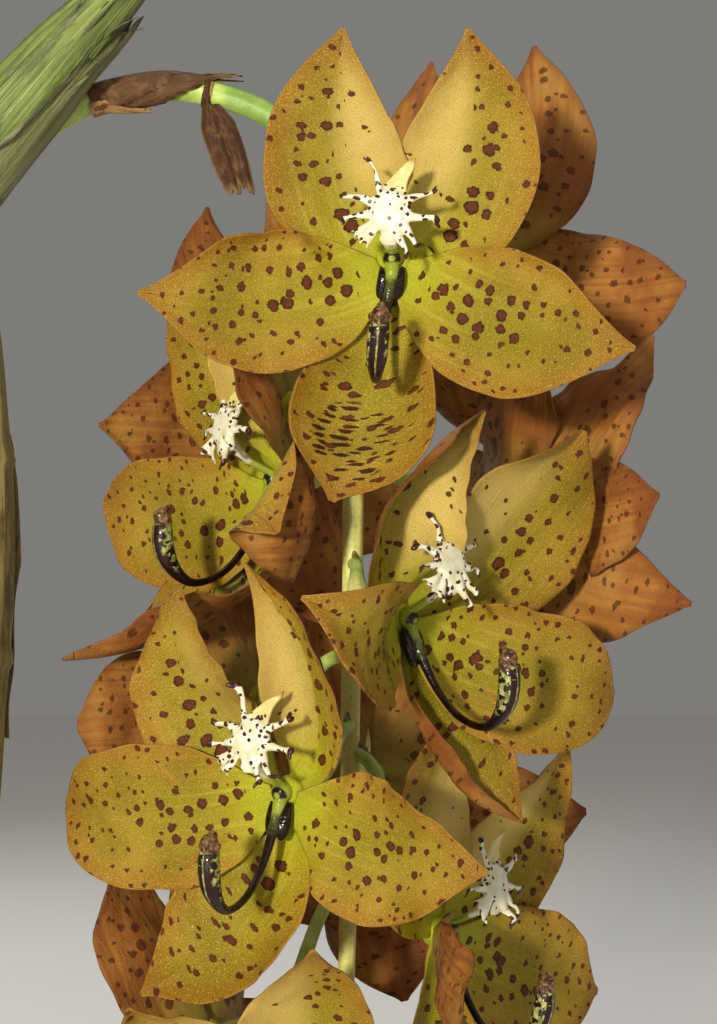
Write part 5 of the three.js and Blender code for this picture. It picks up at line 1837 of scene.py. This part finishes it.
# %% Column finish
lacquer = Finish("column_gloss")
place = lacquer.field("place", "Vector")
t = lacquer.field("along")
shield, horseshoe = lacquer.field("shield"), lacquer.field("horseshoe")
head, cap = lacquer.step(t, 0.6, 0.72), lacquer.step(t, 0.93, 0.965)
across = abs(lacquer.part(place, "X") + 0.25 * (lacquer.noise(place, 1.6, 2.0) - 0.5))
blocks = lacquer.noise(lacquer.stretched(place, 0.4, 1.1, 0.9), 1.15, 1.0)
row = lacquer.step(abs(across - 0.66), 0.58, 0.48) * lacquer.step(blocks + (1 - t) * 1.3, 0.47, 0.53)
side_spot = lacquer.step(lacquer.noise(lacquer.shake(place, 1.0, 0.5), 0.95, 1.0), 0.47, 0.52)
pattern = lacquer.most(row, side_spot * lacquer.step(across, 1.05, 1.2))
tint = lacquer.coats("6c7230", ("a9a865", lacquer.noise(place, 1.1, 3.0), 0.42, 0.62))
cap_tone = lacquer.coats("36190c", ("8a5c36", lacquer.noise(place, 1.9, 4.0), 0.42, 0.62))
green_root = lacquer.step(t + 0.1 * lacquer.noise(place, 1.0, 1.0), 0.24, 0.12)
base = lacquer.coats(
    "0b0303",
    ("1f0708", lacquer.noise(place, 0.7, 2.0), 0.4, 0.6),
    (lacquer.mix(tint, "240709", pattern), head * lacquer.step(t, 0.7, 0.79)),
    (cap_tone, cap * 0.9),
    ("48521a", green_root * (1 - lacquer.field("wing"))),
    ("8f9a30", shield),
    ("15090b", horseshoe),
)
relief = lacquer.bump((lacquer.noise(place, 1.8, 3.0), 0.12))
COLUMN_GLOSS = lacquer.done(
    base, 0.24 + 0.16 * head, relief, Specular_IOR_Level=0.2, Coat_Weight=0.4, Coat_Roughness=0.05
)

# %% [markdown]
# The green shield and the black horseshoe lie at the root of the neck, and the wings stay dark.
# How deep a point lies inside a wing tells the wings from the neck, as both are one melted skin.

# %% Marks and places of the column
shield = step(column_points[:, 1], -3.2, -2.2) * step(column_points[:, 2], 7.0, 5.0)
shield = shield * step(lobe_depth, -0.1, -0.35)
wing = step(lobe_depth, -0.4, -0.15)
ring_x, ring_y = column_points[:, 0], (column_points[:, 1] - 0.4) / 0.95
horseshoe = step(np.abs(np.hypot(ring_x, ring_y) - 1.0), 0.56, 0.4) * step(ring_y, -0.75, -0.4)
horseshoe = horseshoe * step(column_points[:, 2], 0.6, 1.2) * step(column_points[:, 2], 6, 5)


def column_of(number):
    """The column in its place on one flower, dipped and swung from its root."""
    dip, swing = BLOOMS[number].get("column", (0, (3, -4, 5)[number % 3]))
    share = step(column_t, 0.0, 0.15)
    x, y, z = column_points.T
    z, y = spun(z - HUB["front"], y, math.radians(dip) * share)
    x, y = spun(x, y, math.radians(swing) * share)
    points = grid(x, y, z + HUB["front"])
    fields = {"along": column_t, "shield": shield, "horseshoe": horseshoe, "wing": wing}
    shape = Shape()
    shape.add(AXES[number].place(points), column_faces, place=column_points, **fields)
    return shape


place_on_blooms("neck", column_of, COLUMN_GLOSS, "column", "column", near=0.6, far=0.25)

# %% [markdown]
# ## Buds at the tip
# The last buds of a spray stay closed: three sepals meet along seams, and their tips come to a blunt point.
# A rod with three shallow grooves gives that, and the tepal skin's colours carry on to it in green.

# %% Buds
BUD_GIRTH = [(0, 2), (0.2, 4.4), (0.5, 5.6), (0.8, 3.8), (1, 0.6)]
BUD_SIDES = 42

bud_skin = Finish("bud_skin")
here = bud_skin.field("skin", "Vector")
t = bud_skin.field("along")
base = bud_skin.coats(
    "9aa63e",
    ("c1ae52", t, 0.3, 0.9),
    ("6b2a1d", bud_skin.cells(here, 0.5, kind="3D"), 0.26, 0.18, 0.7),
    ("8a5a2c", t, 0.88, 1.0, 0.7),
)
BUD_SKIN = bud_skin.done(base, 0.45, bud_skin.bump((bud_skin.noise(here, 2.5, 3.0), 0.06)))

for k, bud in enumerate(BUDS):
    end, out = bud_axes(bud)
    t = np.linspace(0, 1, 60)
    line = end + out * (0.4 + t[:, None] * (bud["length"] - 0.4))
    radii = ribbed(softened(t, BUD_GIRTH, 0.06, 9), BUD_SIDES, 3, 0.22 * np.sin(np.pi * t))
    name = f"closed_bud_{k + 1}"
    shape = Shape()
    shape.add_rod(line, radii, BUD_SIDES, along=t)
    place_piece(name, shape.mesh(name), BUD_SKIN, "bud", f"bud_{k + 1}")
